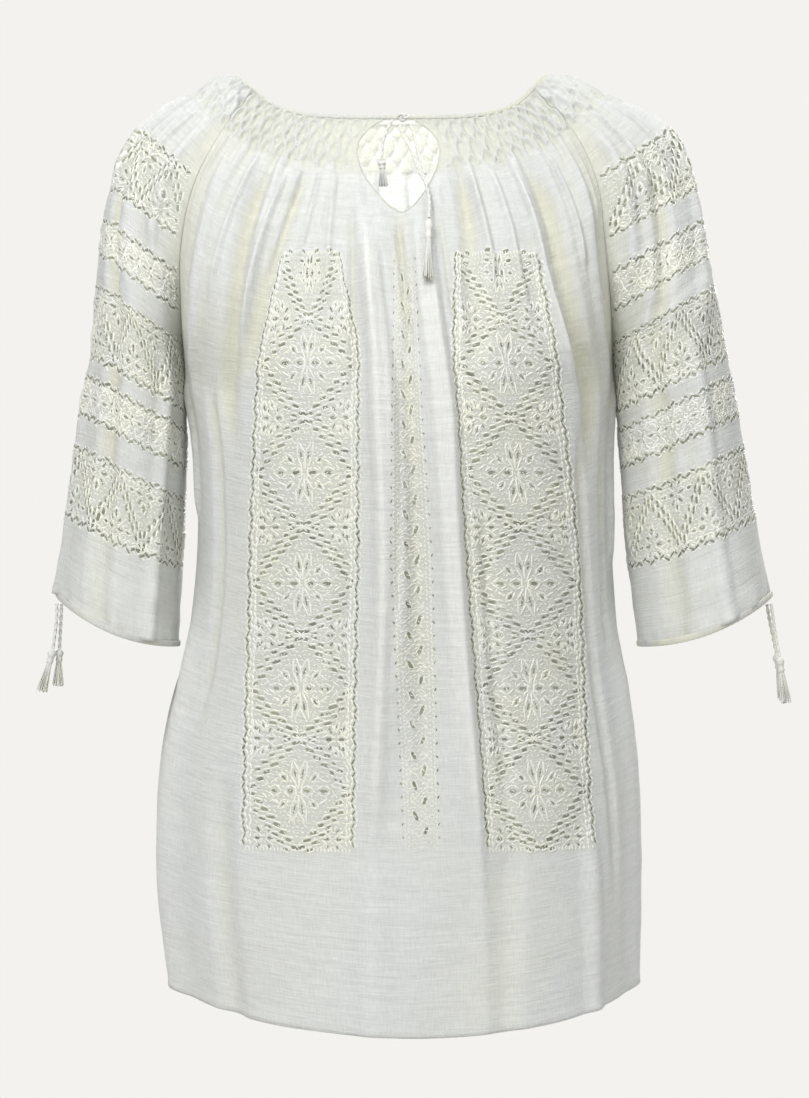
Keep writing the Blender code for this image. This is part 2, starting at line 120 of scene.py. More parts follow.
# Rows of folds: the CAD's own first, then the finer creases. Heights in millimetres, negative for a trough.
Fold = namedtuple("Fold", "top foot across_top across_mid across_foot half_width height")
FRONT_FOLDS = [
    (1.3, 9.6, -0.15, -0.06, -0.12, 0.07, 8), (1.3, 9.8, 0.05, 0.09, 0.17, 0.07, 8),
    (0.9, 6.0, -0.62, -0.60, -0.57, 0.07, -6), (0.9, 6.4, 0.63, 0.66, 0.70, 0.08, -8),
    (0.9, 4.8, -0.42, -0.48, -0.53, 0.06, -5), (0.9, 4.4, 0.28, 0.25, 0.23, 0.06, -5),
    (1.0, 5.5, -0.86, -0.83, -0.80, 0.06, 4), (1.0, 5.5, 0.86, 0.85, 0.84, 0.06, 4),
    (7.2, 12.5, -0.84, -0.83, -0.82, 0.13, 7), (7.4, 12.5, 0.86, 0.86, 0.86, 0.12, 6),
    (8.6, 12.5, -0.55, -0.53, -0.53, 0.07, -5), (9.0, 12.5, 0.27, 0.25, 0.26, 0.07, -4),
]
FRONT_CREASES = [
    (1.4, 10.2, -0.155, -0.085, -0.125, 0.032, 3.4), (1.4, 10.6, 0.100, 0.130, 0.195, 0.032, 3.6),
    (1.3, 8.8, 0.020, 0.055, 0.120, 0.022, -1.8), (1.6, 8.2, -0.105, -0.035, -0.070, 0.020, -1.6),
    (0.95, 3.6, -0.70, -0.71, -0.73, 0.022, 2.2), (0.95, 4.4, -0.51, -0.54, -0.56, 0.020, 2.4),
    (0.98, 3.0, -0.45, -0.47, -0.50, 0.018, 1.8), (0.95, 2.6, -0.36, -0.36, -0.38, 0.018, 1.6),
    (0.95, 3.4, -0.29, -0.27, -0.26, 0.020, 1.8), (1.3, 5.2, -0.20, -0.17, -0.16, 0.022, -1.6),
    (1.7, 4.2, -0.02, 0.00, 0.01, 0.025, -2.2), (1.5, 3.8, 0.15, 0.16, 0.18, 0.020, -1.6),
    (0.95, 3.0, 0.33, 0.33, 0.34, 0.020, 2.2), (0.95, 3.7, 0.43, 0.44, 0.46, 0.020, 1.8),
    (0.95, 4.9, 0.54, 0.56, 0.60, 0.022, 2.6), (0.95, 3.2, 0.76, 0.77, 0.78, 0.020, 2.0),
    (0.95, 2.7, 0.93, 0.94, 0.95, 0.020, 1.6), (0.95, 2.7, -0.94, -0.95, -0.95, 0.022, 2.2),
    (4.6, 8.8, -0.66, -0.68, -0.71, 0.040, -2.0), (5.2, 10.4, 0.61, 0.66, 0.69, 0.035, -1.8),
    (3.6, 9.6, -0.02, 0.01, 0.03, 0.045, -2.4), (6.0, 9.4, 0.22, 0.25, 0.27, 0.035, -2.0),
    (6.4, 9.8, -0.21, -0.22, -0.24, 0.035, -1.8), (9.2, 13.0, -0.10, -0.12, -0.11, 0.06, 2.0),
    (9.0, 13.0, 0.55, 0.58, 0.60, 0.06, 2.4), (4.9, 6.9, -0.93, -0.90, -0.88, 0.045, 2.2),
    (4.9, 7.4, 0.93, 0.91, 0.89, 0.045, 2.4), (5.6, 8.0, 0.80, 0.78, 0.77, 0.035, -2.0),
]
BACK_FOLDS = [
    (0.9, 6.5, -0.60, -0.55, -0.52, 0.08, -6), (0.9, 7.5, -0.22, -0.22, -0.20, 0.08, -6),
    (0.9, 7.0, 0.20, 0.21, 0.24, 0.08, -7), (0.9, 6.2, 0.58, 0.56, 0.52, 0.08, -6),
    (6.0, 12.5, -0.42, -0.43, -0.45, 0.10, 8), (6.5, 12.5, 0.02, 0.03, 0.04, 0.10, 9),
    (6.0, 12.5, 0.46, 0.44, 0.42, 0.10, 8), (7.6, 12.5, -0.83, -0.82, -0.80, 0.16, 10),
    (7.6, 12.5, 0.83, 0.82, 0.80, 0.16, 10),
]
BACK_CREASES = [
    (0.95, 3.9, -0.80, -0.80, -0.81, 0.022, 2.2), (0.95, 2.9, -0.68, -0.69, -0.70, 0.020, 1.8),
    (0.95, 4.7, -0.45, -0.43, -0.41, 0.022, 2.6), (0.95, 3.1, -0.33, -0.33, -0.32, 0.018, 1.8),
    (0.95, 5.4, -0.09, -0.07, -0.06, 0.024, 2.4), (0.95, 3.5, 0.04, 0.05, 0.05, 0.020, 2.0),
    (0.95, 4.2, 0.34, 0.36, 0.37, 0.022, 2.4), (0.95, 2.8, 0.46, 0.46, 0.47, 0.018, 1.6),
    (0.95, 4.6, 0.72, 0.72, 0.73, 0.022, 2.2), (0.95, 3.0, 0.88, 0.88, 0.89, 0.020, 1.8),
    (4.8, 9.5, -0.70, -0.66, -0.64, 0.045, -2.4), (5.4, 10.2, -0.08, -0.10, -0.13, 0.040, -2.2),
    (4.6, 9.0, 0.68, 0.66, 0.65, 0.045, -2.6), (8.2, 13.0, 0.22, 0.23, 0.24, 0.05, -2.8),
]
SLEEVE_FOLDS = {
    -1: [
        (1.3, 9.5, -0.28, -0.34, -0.48, 0.10, -6), (1.1, 3.6, -0.80, -0.76, -0.72, 0.08, 4),
        (1.0, 9.0, 0.36, 0.38, 0.42, 0.10, -6), (1.0, 6.0, 0.02, 0.04, 0.06, 0.12, 4),
        (5.2, 9.5, 0.80, 0.80, 0.80, 0.14, 4),
    ],
    1: [
        (1.6, 9.5, -0.58, -0.61, -0.68, 0.10, -6), (1.0, 5.5, -0.22, -0.24, -0.30, 0.10, 5),
        (1.0, 9.0, 0.34, 0.38, 0.40, 0.10, -6), (1.1, 4.0, -0.84, -0.82, -0.80, 0.08, 4),
        (5.2, 9.5, 0.80, 0.80, 0.80, 0.14, 4),
    ],
}
SLEEVE_CREASES = {
    -1: [
        (0.95, 2.6, -0.62, -0.58, -0.54, 0.040, 2.0), (0.95, 2.2, -0.45, -0.42, -0.40, 0.036, 1.8),
        (0.95, 3.1, -0.12, -0.12, -0.12, 0.040, 2.2), (0.95, 2.4, 0.20, 0.22, 0.24, 0.036, 1.8),
        (0.95, 3.4, 0.62, 0.66, 0.68, 0.040, 2.2), (4.6, 8.8, -0.72, -0.70, -0.66, 0.07, 2.2),
        (5.4, 9.2, -0.10, -0.08, -0.05, 0.08, 1.8), (4.9, 9.0, 0.16, 0.18, 0.20, 0.07, -2.0),
    ],
    1: [
        (0.95, 2.8, -0.70, -0.68, -0.66, 0.040, 2.2), (0.95, 2.3, -0.42, -0.38, -0.36, 0.036, 1.8),
        (0.95, 2.6, 0.02, 0.04, 0.05, 0.040, 2.0), (0.95, 3.0, 0.22, 0.22, 0.24, 0.036, 2.0),
        (0.95, 3.5, 0.64, 0.66, 0.66, 0.040, 2.2), (4.8, 9.0, -0.38, -0.40, -0.44, 0.07, 2.2),
        (5.2, 9.2, -0.04, 0.00, 0.02, 0.08, -1.8), (5.0, 9.0, 0.18, 0.20, 0.22, 0.07, 2.0),
    ],
}

# Cords in millimetres, as the CAD source gives them. A cuff tie's places count from its own cuff point.
CORD_DIAMETER = 2.6 * MM
TASSEL_DROP = 0.5
Place = namedtuple("Place", "x y z")
Tie = namedtuple("Tie", "cord tassel_foot")
NECK_TIES = {
    "short": Tie([(-8.4, -69.5, -38), (-12, -71.5, -45), (-15, -74, -54), (-16, -77, -67)],
                 (-14.6, -79, -86)),
    "long": Tie([(-3.4, -70.5, -41.2), (-1, -73.5, -50), (4.5, -78, -60), (9.5, -84.5, -74),
                 (14.5, -89.5, -84), (17.2, -95.5, -96), (17, -103.5, -110)], (15.6, -123.5, -154)),
    "loop": Tie([(3.4, -70.5, -40.8), (6.5, -74.5, -48), (10.5, -82.5, -66), (14.8, -89, -78)], None),
}
CUFF_TIE_ACROSS = -0.12
CUFF_TIES = {
    "right_a": Tie([(1.5, -1.5, -2.8), (1.5, -2, -12), (2.5, -2.5, -23), (4.2, -3, -35)], (12, -4, -66)),
    "right_b": Tie([(-1.5, 1.5, -3.2), (-1.3, 2, -12), (-0.6, 2.8, -23), (0, 3.5, -35)], (1, 4, -62)),
    "left_a": Tie([(1.4, -1.5, -2.8), (3, -2, -15), (5, -2.6, -28), (7, -3.2, -40)], (12, -4, -74)),
    "left_b": Tie([(-1.4, 1.5, -3.2), (0.4, 2, -14), (3, 2.8, -26), (5.5, 3.5, -38)], (11, 6, -72)),
}
KNOT_CENTRE = np.array([-1.0, -69.2, -36.2]) * MM
KNOT_SIZE = np.array([1.35, 1.0, 0.85]) * MM

# A tassel's head: radii in millimetres, and drops as shares of the whole tassel
Turned = namedtuple("Turned", "drop radius")
TASSEL = [Turned(0.0, 0.7), Turned(0.03, 2.1), Turned(0.09, 3.0), Turned(0.15, 2.8), Turned(0.19, 2.1),
          Turned(0.22, 2.0), Turned(0.25, 2.3), Turned(0.30, 2.4), Turned(0.36, 1.0)]
TASSEL_THREADS = 52
GOLDEN_ANGLE = 2.399963


# ---- surfaces ----

def section(table, level):
    """The table's columns at levels that may lie between rows, on a smooth curve through the rows."""
    rows = np.array(table, float)
    last = len(rows) - 1
    level = np.clip(np.asarray(level, float), 0.0, last)
    i = np.minimum(level.astype(int), last - 1)
    f = (level - i)[..., None]
    before, here = rows[np.maximum(i - 1, 0)], rows[i]
    there, after = rows[i + 1], rows[np.minimum(i + 2, last)]
    near, far = (there - before) / 2, (after - here) / 2
    curve = (
        here * (2 * f**3 - 3 * f**2 + 1)
        + near * (f**3 - 2 * f**2 + f)
        + there * (3 * f**2 - 2 * f**3)
        + far * (f**3 - f**2)
    )
    return type(table[0])(*np.moveaxis(curve, -1, 0))


def sleeve_point(level, across, side):
    """Points of a sleeve: across is -1 at the front seam, 0 on the outer line and 1 at the back seam."""
    a = section(SLEEVE, level)
    wrap = np.radians(a.wrap)
    turn = across * wrap
    share = (np.cos(turn) - np.cos(wrap)) / (1 - np.cos(wrap))
    seam_x = side * a.seam_x + a.seam_sway
    outer_x = side * a.outer_x + a.outer_sway
    x = seam_x + (outer_x - seam_x) * share
    z = a.seam_z + (a.outer_z - a.seam_z) * share - a.dip * np.sin(turn) ** 2
    return MM * np.stack([x, a.arm_y + a.half_depth * np.sin(turn), z], axis=-1)


def torso_end(level, side, face):
    """Where torso arcs end: on the raglan seam above the armpit, and on the side seam below it."""
    raglan = sleeve_point(level, face, side)
    raglan[..., 0] -= side * SEAM_GAP
    t = section(TORSO, level)
    x = MM * (side * t.side_x + t.sway) - side * SEAM_GAP
    seam = np.stack([x, MM * t.side_y + face * SEAM_GAP, MM * t.side_z], axis=-1)
    return np.where((np.asarray(level) < ARMPIT)[..., None], raglan, seam)


def torso_point(level, across, face):
    """Points of the front (face -1) or back (face 1): across is -1 at the -X seam and 1 at the +X seam."""
    t = section(TORSO, level)
    side = np.where(across >= 0, 1, -1)
    end = torso_end(level, side, face)
    centre = [t.front_x, t.front_y, t.front_z] if face < 0 else [t.back_x, t.back_y, t.back_z]
    centre = MM * np.stack(centre, axis=-1)
    wrap = np.radians(t.wrap)
    turn = np.abs(across) * wrap
    share = np.stack([
        np.sin(turn) / np.sin(wrap),
        (1 - np.cos(turn)) / (1 - np.cos(wrap)),
        np.abs(across) ** t.rise,
    ], axis=-1)
    return centre + (end - centre) * share


def smooth_step(x):
    x = np.clip(x, 0.0, 1.0)
    return x * x * (3 - 2 * x)


def unit(vectors):
    return vectors / np.maximum(np.linalg.norm(vectors, axis=-1, keepdims=True), 1e-12)


def outward(points):
    """Unit normals of a grid of points, pointing away from the wearer."""
    return unit(np.cross(np.gradient(points, axis=0), np.gradient(points, axis=1)))


def steps(line):
    """The distances from each point of a line to the next."""
    return np.linalg.norm(np.diff(line, axis=0), axis=1)


def distances(line):
    """How far along a line each of its points lies."""
    return np.concatenate([[0], np.cumsum(steps(line))])


def around(count):
    """Evenly spaced angles round a ring, in radians."""
    return np.linspace(0, 2 * math.pi, count, endpoint=False)


def fold_height(folds, level, across):
    """How far the folds lift the cloth, in millimetres."""
    total = np.zeros(level.shape)
    for f in map(Fold._make, folds):
        run = (level - f.top) / (f.foot - f.top)
        middle = (
            f.across_top * (1 - run) * (1 - 2 * run)
            + f.across_mid * 4 * run * (1 - run)
            + f.across_foot * run * (2 * run - 1)
        )
        off = np.minimum(np.abs(across - middle) / f.half_width, 1)
        ends = smooth_step(run / 0.2) * smooth_step((1 - run) / 0.25)
        total += f.height * ends * np.cos(off * math.pi / 2) ** 2
    return total


def smocking(level, across, pleats):
    """The honeycomb: neighbouring pleats meet and part again from row to row, unevenly, and flatter in the
    panel's middle. In millimetres."""
    rng = np.random.default_rng(pleats)
    drift = rng.uniform(-0.10, 0.10, pleats + 4)
    strength = rng.uniform(0.72, 1.1, pleats + 4)
    place = (across + 1) / 2 * pleats
    uneven = 0.035 * np.sin(9 * across + 17 * level) + 0.02 * np.sin(23 * across - 11 * level)
    sway = SMOCK_SWAY * np.cos(math.pi * (level + uneven - SMOCK_TOP) / SMOCK_ROW)
    height = np.zeros(level.shape)
    for step in (-1, 0, 1):
        k = np.clip(np.floor(place) + step, -1, pleats + 1)
        own = k.astype(int) + 1
        centre = k + 0.5 + sway * np.where(k % 2 == 0, 1, -1) + drift[own]
        height = np.maximum(height, strength[own] * np.exp(-(((place - centre) / PLEAT_WIDTH) ** 2)))
    fade = smooth_step((level - SMOCK_TOP + 0.02) / 0.05) * smooth_step((SMOCK_FOOT + 0.03 - level) / 0.06)
    flatter = 0.62 + 0.38 * smooth_step((np.abs(across) - 0.25) / 0.5)
    return SMOCK_HEIGHT * height * fade * flatter


def gathers(level, across, pleats, seed):
    """Pleats let go below the smocking: each dies out at its own length, in pairs and alone."""
    rng = np.random.default_rng(seed)
    below = np.maximum(level - SMOCK_FOOT, 0)
    start = smooth_step((level - SMOCK_FOOT + 0.05) / 0.1)
    height = np.zeros(level.shape)
    for loose in LOOSE:
        count = int(pleats / loose.width)
        strength = rng.uniform(0.25, 1.0, count + 1)
        reach = rng.uniform(loose.shortest, loose.longest, count + 1)
        drift = rng.uniform(-0.25, 0.25, count + 1)
        place = (across + 1) / 2 * count
        k = np.clip(np.floor(place), 0, count - 1).astype(int)
        off = place - k - 0.5 - drift[k] * np.minimum(below, 2) * 0.25
        crest = np.exp(-((off / 0.22) ** 2))
        height += loose.tall * strength[k] * crest * np.exp(-((below / reach[k]) ** 1.5))
    return height * start


def ripples(level, across, seed):
    """Low soft waves of worn cloth, mostly running down. In millimetres."""
    rng = np.random.default_rng(seed)
    height = np.zeros(level.shape)
    for _ in range(14):
        over, down = rng.uniform(5, 26), rng.uniform(0.2, 1.5)
        phase, bend = rng.uniform(0, 2 * math.pi, 2)
        wave = np.sin(over * across + down * level + phase + 1.2 * np.sin(0.7 * level + bend))
        height += wave * rng.uniform(0.12, 0.36)
    return height * smooth_step((level - 1.0) / 1.5)


def crinkle(level, across, seed):
    """The gauze's fine crosswise crinkle. In millimetres."""
    rng = np.random.default_rng(seed)
    height = np.zeros(level.shape)
    for _ in range(26):
        over, down = rng.uniform(-14, 14), rng.uniform(9, 26)
        phase, bend = rng.uniform(0, 2 * math.pi, 2)
        height += np.sin(over * across + down * level + phase + 2.2 * np.sin(6 * across + bend))
    return height * 0.032 * smooth_step((level - 1.2) / 1.0)


def seam_fade(across):
    """1 over most of a panel, and 0 at its seams."""
    return smooth_step((1 - np.abs(across)) / 0.12)


def folded(folds, creases, level, across):
    """The relief of a panel's folds and creases together, in millimetres."""
    return fold_height(folds, level, across) + CREASE_DEPTH * fold_height(creases, level, across)


# ---- materials ----

def nodes_of(name):
    found = bpy.data.materials.new(name)
    found.use_nodes = True
    tree = found.node_tree
    return found, tree, tree.nodes["Principled BSDF"]


def feed(tree, node, inputs):
    """Gives a node its inputs, by name or number. A socket is linked, and a colour gets its alpha."""
    for key, value in inputs.items():
        socket = node.inputs[key]
        if isinstance(value, bpy.types.NodeSocket):
            tree.links.new(value, socket)
        else:
            socket.default_value = (*value, 1.0) if socket.type == "RGBA" else value


def add_node(tree, kind, inputs=None, **settings):
    node = tree.nodes.new(kind)
    for key, value in settings.items():
        setattr(node, key, value)
    feed(tree, node, inputs or {})
    return node


def noise(tree, coords, stretch, detail=2.0):
    """Noise stretched along the cloth's own directions, stretch in marks a metre."""
    mapping = add_node(tree, "ShaderNodeMapping", {"Vector": coords, "Scale": stretch})
    inputs = {"Vector": mapping.outputs[0], "Scale": 1.0, "Detail": detail}
    return add_node(tree, "ShaderNodeTexNoise", inputs).outputs[0]


def math_node(tree, operation, first, second):
    return add_node(tree, "ShaderNodeMath", {0: first, 1: second}, operation=operation).outputs[0]


def mix_colour(tree, share, first, second, blend="MIX"):
    inputs = {0: share, 6: first, 7: second}
    return add_node(tree, "ShaderNodeMix", inputs, data_type="RGBA", blend_type=blend).outputs[2]


def spread(tree, value, low, high, to_low=0.0, to_high=1.0):
    return add_node(tree, "ShaderNodeMapRange", {0: value, 1: low, 2: high, 3: to_low, 4: to_high}).outputs[0]


# Colours: the gauze flat; a painted highlight on its crests; a warm tone that is also painted shade in its
# folds and hollows; the embroidery's ground, also painted shade in the smocking's hollows; and the rest
COOL_WHITE = (0.800, 0.808, 0.796)
PAINTED_HIGHLIGHT_WHITE = (0.880, 0.884, 0.858)
WARM_TONE_AND_FOLD_SHADE = (0.800, 0.800, 0.700)
GROUND_TONE_AND_HOLLOW_SHADE = (0.740, 0.750, 0.680)
THREAD = (0.880, 0.885, 0.840)
CORD = (0.660, 0.666, 0.645)
STRIP = (0.775, 0.782, 0.755)
# Painted shade seen through the eyelets, and a paler copy of it
EYELET_PAINTED_SHADE = (0.185, 0.195, 0.150)
EYELET_PAINTED_SHADE_PALE = tuple(c * 1.7 for c in EYELET_PAINTED_SHADE)
FLOOR = (0.80, 0.795, 0.77)
BACKDROP = (0.896, 0.888, 0.855)


def gauze():
    """Thin slubbed cotton gauze that lets light through, with painted shade in its folds and hollows and by
    the upper seams, a painted highlight on its crests, and a duller tone under the embroidery.
    """
    found, tree, shader = nodes_of("gauze_cotton")
    coords = add_node(tree, "ShaderNodeUVMap", uv_map="cloth").outputs[0]
    fold_shade_and_highlight = add_node(tree, "ShaderNodeAttribute", attribute_name="fold_shade_and_highlight").outputs["Fac"]
    ground_and_hollow_shade = add_node(tree, "ShaderNodeAttribute", attribute_name="ground_and_hollow_shade").outputs["Fac"]
    slub = noise(tree, coords, (26, 340, 1), 3.0)
    cloud = noise(tree, coords, (14, 9, 1))
    weave = math_node(tree, "ADD", noise(tree, coords, (90, 900, 1)), noise(tree, coords, (900, 110, 1)))
    # Painted shade: warmer in folds, hollows and by the upper seams, mixed with the cloth's random warm tone
    fold_shade_and_warm_tone = math_node(tree, "ADD", fold_shade_and_highlight, spread(tree, cloud, 0.45, 0.8, 0.0, 0.35))
    colour = mix_colour(tree, fold_shade_and_warm_tone, COOL_WHITE, WARM_TONE_AND_FOLD_SHADE)
    # Painted highlight: brighter on the folds' crests
    colour = mix_colour(tree, spread(tree, fold_shade_and_highlight, 0.0, -1.0), colour, PAINTED_HIGHLIGHT_WHITE)
    # The embroidered ground's duller tone, and painted shade in the smocking's hollows
    worked_and_hollow_shade = math_node(tree, "MULTIPLY", ground_and_hollow_shade, spread(tree, slub, 0.3, 0.7, 0.45, 1.0))
    colour = mix_colour(tree, worked_and_hollow_shade, colour, GROUND_TONE_AND_HOLLOW_SHADE)
    shade = spread(tree, math_node(tree, "ADD", weave, slub), 1.1, 1.9, 0.90, 1.04)
    grey = add_node(tree, "ShaderNodeCombineColor", {0: shade, 1: shade, 2: shade}).outputs[0]
    colour = mix_colour(tree, 1.0, colour, grey, "MULTIPLY")
    height = math_node(tree, "ADD", weave, math_node(tree, "MULTIPLY", slub, 1.5))
    looks = {"Roughness": 0.85, "Sheen Weight": 0.25, "Sheen Roughness": 0.5, "Specular IOR Level": 0.25}
    dress(tree, shader, colour, (0.55, 0.0007, height), looks, 0.38)
    return found


def dress(tree, shader, colour, bump, looks, share):
    """Gives a shader its colour, bump (strength, distance, height) and looks, and mixes in a share of light
    from behind, for thin cloth and thread."""
    strength, distance, height = bump
    inputs = {"Strength": strength, "Distance": distance, "Height": height}
    normal = add_node(tree, "ShaderNodeBump", inputs).outputs[0]
    feed(tree, shader, {"Base Color": colour, "Normal": normal, **looks})
    if share:
        through = add_node(tree, "ShaderNodeBsdfTranslucent", {"Color": colour, "Normal": normal})
        both = add_node(tree, "ShaderNodeMixShader", {0: share, 1: shader.outputs[0], 2: through.outputs[0]})
        feed(tree, tree.nodes["Material Output"], {"Surface": both.outputs[0]})


def spun(name, colour, roughness, marks, coat, share):
    """Spun or twisted cotton thread with a soft gloss. marks are its fibres a metre along x, y and z."""
    found, tree, shader = nodes_of(name)
    coords = add_node(tree, "ShaderNodeTexCoord").outputs["Object"]
    fibre = noise(tree, coords, marks, 3.0)
    dull = tuple(c * 0.86 for c in colour)
    mixed = mix_colour(tree, spread(tree, fibre, 0.3, 0.7), dull, colour)
    warm = (colour[0], colour[1] * 0.985, colour[2] * 0.90)
    cloud = noise(tree, coords, (30, 30, 30))
    final = mix_colour(tree, spread(tree, cloud, 0.4, 0.65), mixed, warm)
    looks = {"Roughness": roughness, "Sheen Weight": 0.2, "Coat Weight": coat, "Coat Roughness": 0.35}
    dress(tree, shader, final, (0.4, 0.0004, fibre), looks, share)
    return found


def eyelet_shade():
    """Flat dark patches of painted shade for the drawn-thread work's openings, darker and paler at random, as
    if uneven in depth.
    """
    found, tree, shader = nodes_of("eyelet_shade")
    coords = add_node(tree, "ShaderNodeTexCoord").outputs["Object"]
    depth = spread(tree, noise(tree, coords, (60, 60, 45), 3.0), 0.36, 0.62)
    colour = mix_colour(tree, depth, EYELET_PAINTED_SHADE, EYELET_PAINTED_SHADE_PALE)
    feed(tree, shader, {"Base Color": colour, "Roughness": 0.9, "Specular IOR Level": 0.1})
    return found


# ---- mesh helpers ----

Finish = namedtuple("Finish", "material slot")


def add_mesh(name, points, faces, finish):
    """A smooth mesh that rides on the body, from rows of points of any shape."""
    mesh = bpy.data.meshes.new(name)
    mesh.from_pydata(points.reshape(-1, 3).tolist(), [], faces)
    mesh.materials.append(finish.material)
    mesh.shade_smooth()
    obj = bpy.data.objects.new(name, mesh)
    bpy.context.scene.collection.objects.link(obj)
    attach(obj, BODY)
    return obj


def grid_faces(index):
    """Quads between the rows and columns of an array of point numbers."""
    quads = np.stack([index[:-1, :-1], index[1:, :-1], index[1:, 1:], index[:-1, 1:]], axis=-1)
    return quads.reshape(-1, 4).tolist()


def without_loose(points, faces, *values):
    """The points that the faces use with their values, and the faces with their new numbers."""
    faces = np.array(faces)
    used, numbers = np.unique(faces, return_inverse=True)
    return points[used], numbers.reshape(faces.shape).tolist(), [v[used] for v in values]


def paint(obj, attributes, uv):
    """Point attributes, and a UV map in metres of cloth."""
    for name, values in attributes.items():
        layer = obj.data.attributes.new(name, "FLOAT", "POINT")
        layer.data.foreach_set("value", np.asarray(values, np.float32).ravel())
    corners = np.zeros(len(obj.data.loops), np.int32)
    obj.data.loops.foreach_get("vertex_index", corners)
    layer = obj.data.uv_layers.new(name="cloth")
    layer.data.foreach_set("uv", np.asarray(uv, np.float32)[corners].ravel())


def cloth_uv(points, across, half_width):
    """Across in metres of flat cloth, and down along the cloth itself."""
    down = np.linalg.norm(np.diff(points, axis=0), axis=2).mean(axis=1)
    down = np.concatenate([[0], np.cumsum(down)])
    return np.stack([across * half_width, np.broadcast_to(down[:, None], across.shape)], axis=-1)


# ---- panels ----

Grid = namedtuple("Grid", "levels across points normals")


def stepped(*runs):
    """Levels in runs of start, end and count, one below the other."""
    return np.concatenate([np.linspace(*run, endpoint=run is runs[-1]) for run in runs])


def slit_half_width(level):
    """Half the teardrop slit's width at levels, in millimetres."""
    drop = TORSO[0].front_z - section(TORSO, level).front_z
    smooth = section(KEYHOLE, np.linspace(0, len(KEYHOLE) - 1, 120))
    half = np.interp(drop, smooth.drop, smooth.half_width)
    return np.where(drop >= KEYHOLE[-1].drop, 0.0, half)


def slit_across(level, side):
    """Where the slit's edge lies across the front."""
    t = section(TORSO, level)
    reach = np.abs(torso_end(level, side, -1)[..., 0] - t.front_x * MM)
    wrap = np.radians(t.wrap)
    return side * np.arcsin(slit_half_width(level) * MM / reach * np.sin(wrap)) / wrap


def front_relief(level, across):
    """All of the front's relief in millimetres."""
    edge = np.where(across >= 0, slit_across(level, 1), slit_across(level, -1))
    plain = smooth_step((np.abs(across - edge) * FRONT_SPREAD - 1.0) / 9.0)
    folds = folded(FRONT_FOLDS, FRONT_CREASES, level, across)
    height = (folds + ripples(level, across, 3)) * seam_fade(across)
    height += smocking(level, across, PLEATS["front"]) * plain
    height += gathers(level, across, PLEATS["front"], 11) * plain * seam_fade(across)
    height += crinkle(level, across, 21) * seam_fade(across)
    return height + hem_band(level)


def hem_band(level):
    """The turned hem's extra thickness and its sewn groove. In millimetres."""
    from_hem = (HEM - level) * HEM_LEVEL
    groove = 0.5 * np.exp(-(((from_hem - HEM_SEAM) / 0.9) ** 2))
    return 0.7 * smooth_step((HEM_SEAM + 0.9 - from_hem) / 0.8) - groove


def columns_zone(points):
    """1 on the front's embroidered columns, 0 beside them."""
    x, z = points[..., 0] / MM, points[..., 2] / MM
    zone = np.zeros(x.shape)
    for name, column in COLUMNS.items():
        centre, half = column_frame(column, z)
        inside = smooth_step((half + 1 - np.abs(x - centre)) / 2.5)
        run = smooth_step((column[0].z + 1 - z) / 3) * smooth_step((z - column[-1].z + 1) / 3)
        zone = np.maximum(zone, inside * run * (0.45 if name == "centre" else 1.0))
    return zone


def smocked(level):
    """1 in the smocking, 0 below it."""
    return smooth_step((SMOCK_FOOT + 0.2 - level) / 0.3)


def painted_fold_shading(height, level, across):
    """Painted shade and highlight: positive, as painted shade, where the cloth lies back in a fold, in the
    smocking's hollows and by the upper seams, and negative, as a painted highlight, on a fold's crest."""
    # Painted shade in folds and by the upper seams, weaker towards the hem
    warm = np.clip(0.06 - height * 0.20, 0, 1) * (1 - 0.75 * smooth_step((level - 5.5) / 3))
    warm += 0.55 * smooth_step((np.abs(across) - 0.62) / 0.38) * smooth_step((6.5 - level) / 2.5)
    # Painted highlight on a fold's crest
    crest = np.clip((height - 1.5) * 0.16, 0, 1) * (1 - 0.6 * smooth_step((level - 8) / 2))
    # Painted shade in the smocking's hollows
    hollow_shade = np.clip(1 - height / (0.7 * SMOCK_HEIGHT), 0, 1) * 0.6
    return warm - crest + (hollow_shade - (warm - crest)) * smocked(level)


def smocking_hollow_shade(height, level, across):
    """Painted shade: the ground's duller tone in the hollows between the smocking's pleats, most towards the
    shoulders.
    """
    hollow = np.clip(1.15 - height / (0.75 * SMOCK_HEIGHT), 0, 1)
    return hollow * (0.45 + 0.55 * smooth_step(np.abs(across) / 0.8)) * smocked(level)


def panel_values(points, height, level, across, half_width, zone):
    """A panel's points with their painted fold shade and highlight, their ground with painted shade in the
    smocking's hollows, and UV coordinates, each as one long list.
    """
    ground_and_hollow_shade = np.maximum(zone, smocking_hollow_shade(height, level, across))
    uv = cloth_uv(points, across, half_width)
    return points.reshape(-1, 3), painted_fold_shading(height, level, across).ravel(), ground_and_hollow_shade.ravel(), uv.reshape(-1, 2)


def finished_panel(name, faces, values, finish):
    """A panel's shell of thin cloth with its attributes."""
    points, *values = values
    points, faces, (fold_shade_and_highlight, ground_and_hollow_shade, uv) = without_loose(points, faces, *values)
    obj = add_mesh(name + "_cloth", points, faces, finish)
    paint(obj, {"fold_shade_and_highlight": fold_shade_and_highlight, "ground_and_hollow_shade": ground_and_hollow_shade}, uv)
    solid = obj.modifiers.new("Cloth", "SOLIDIFY")
    solid.thickness = CLOTH
    solid.offset = -1
    solid.use_even_offset = False
    solid.use_rim = True
    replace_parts(obj, name)
    return obj


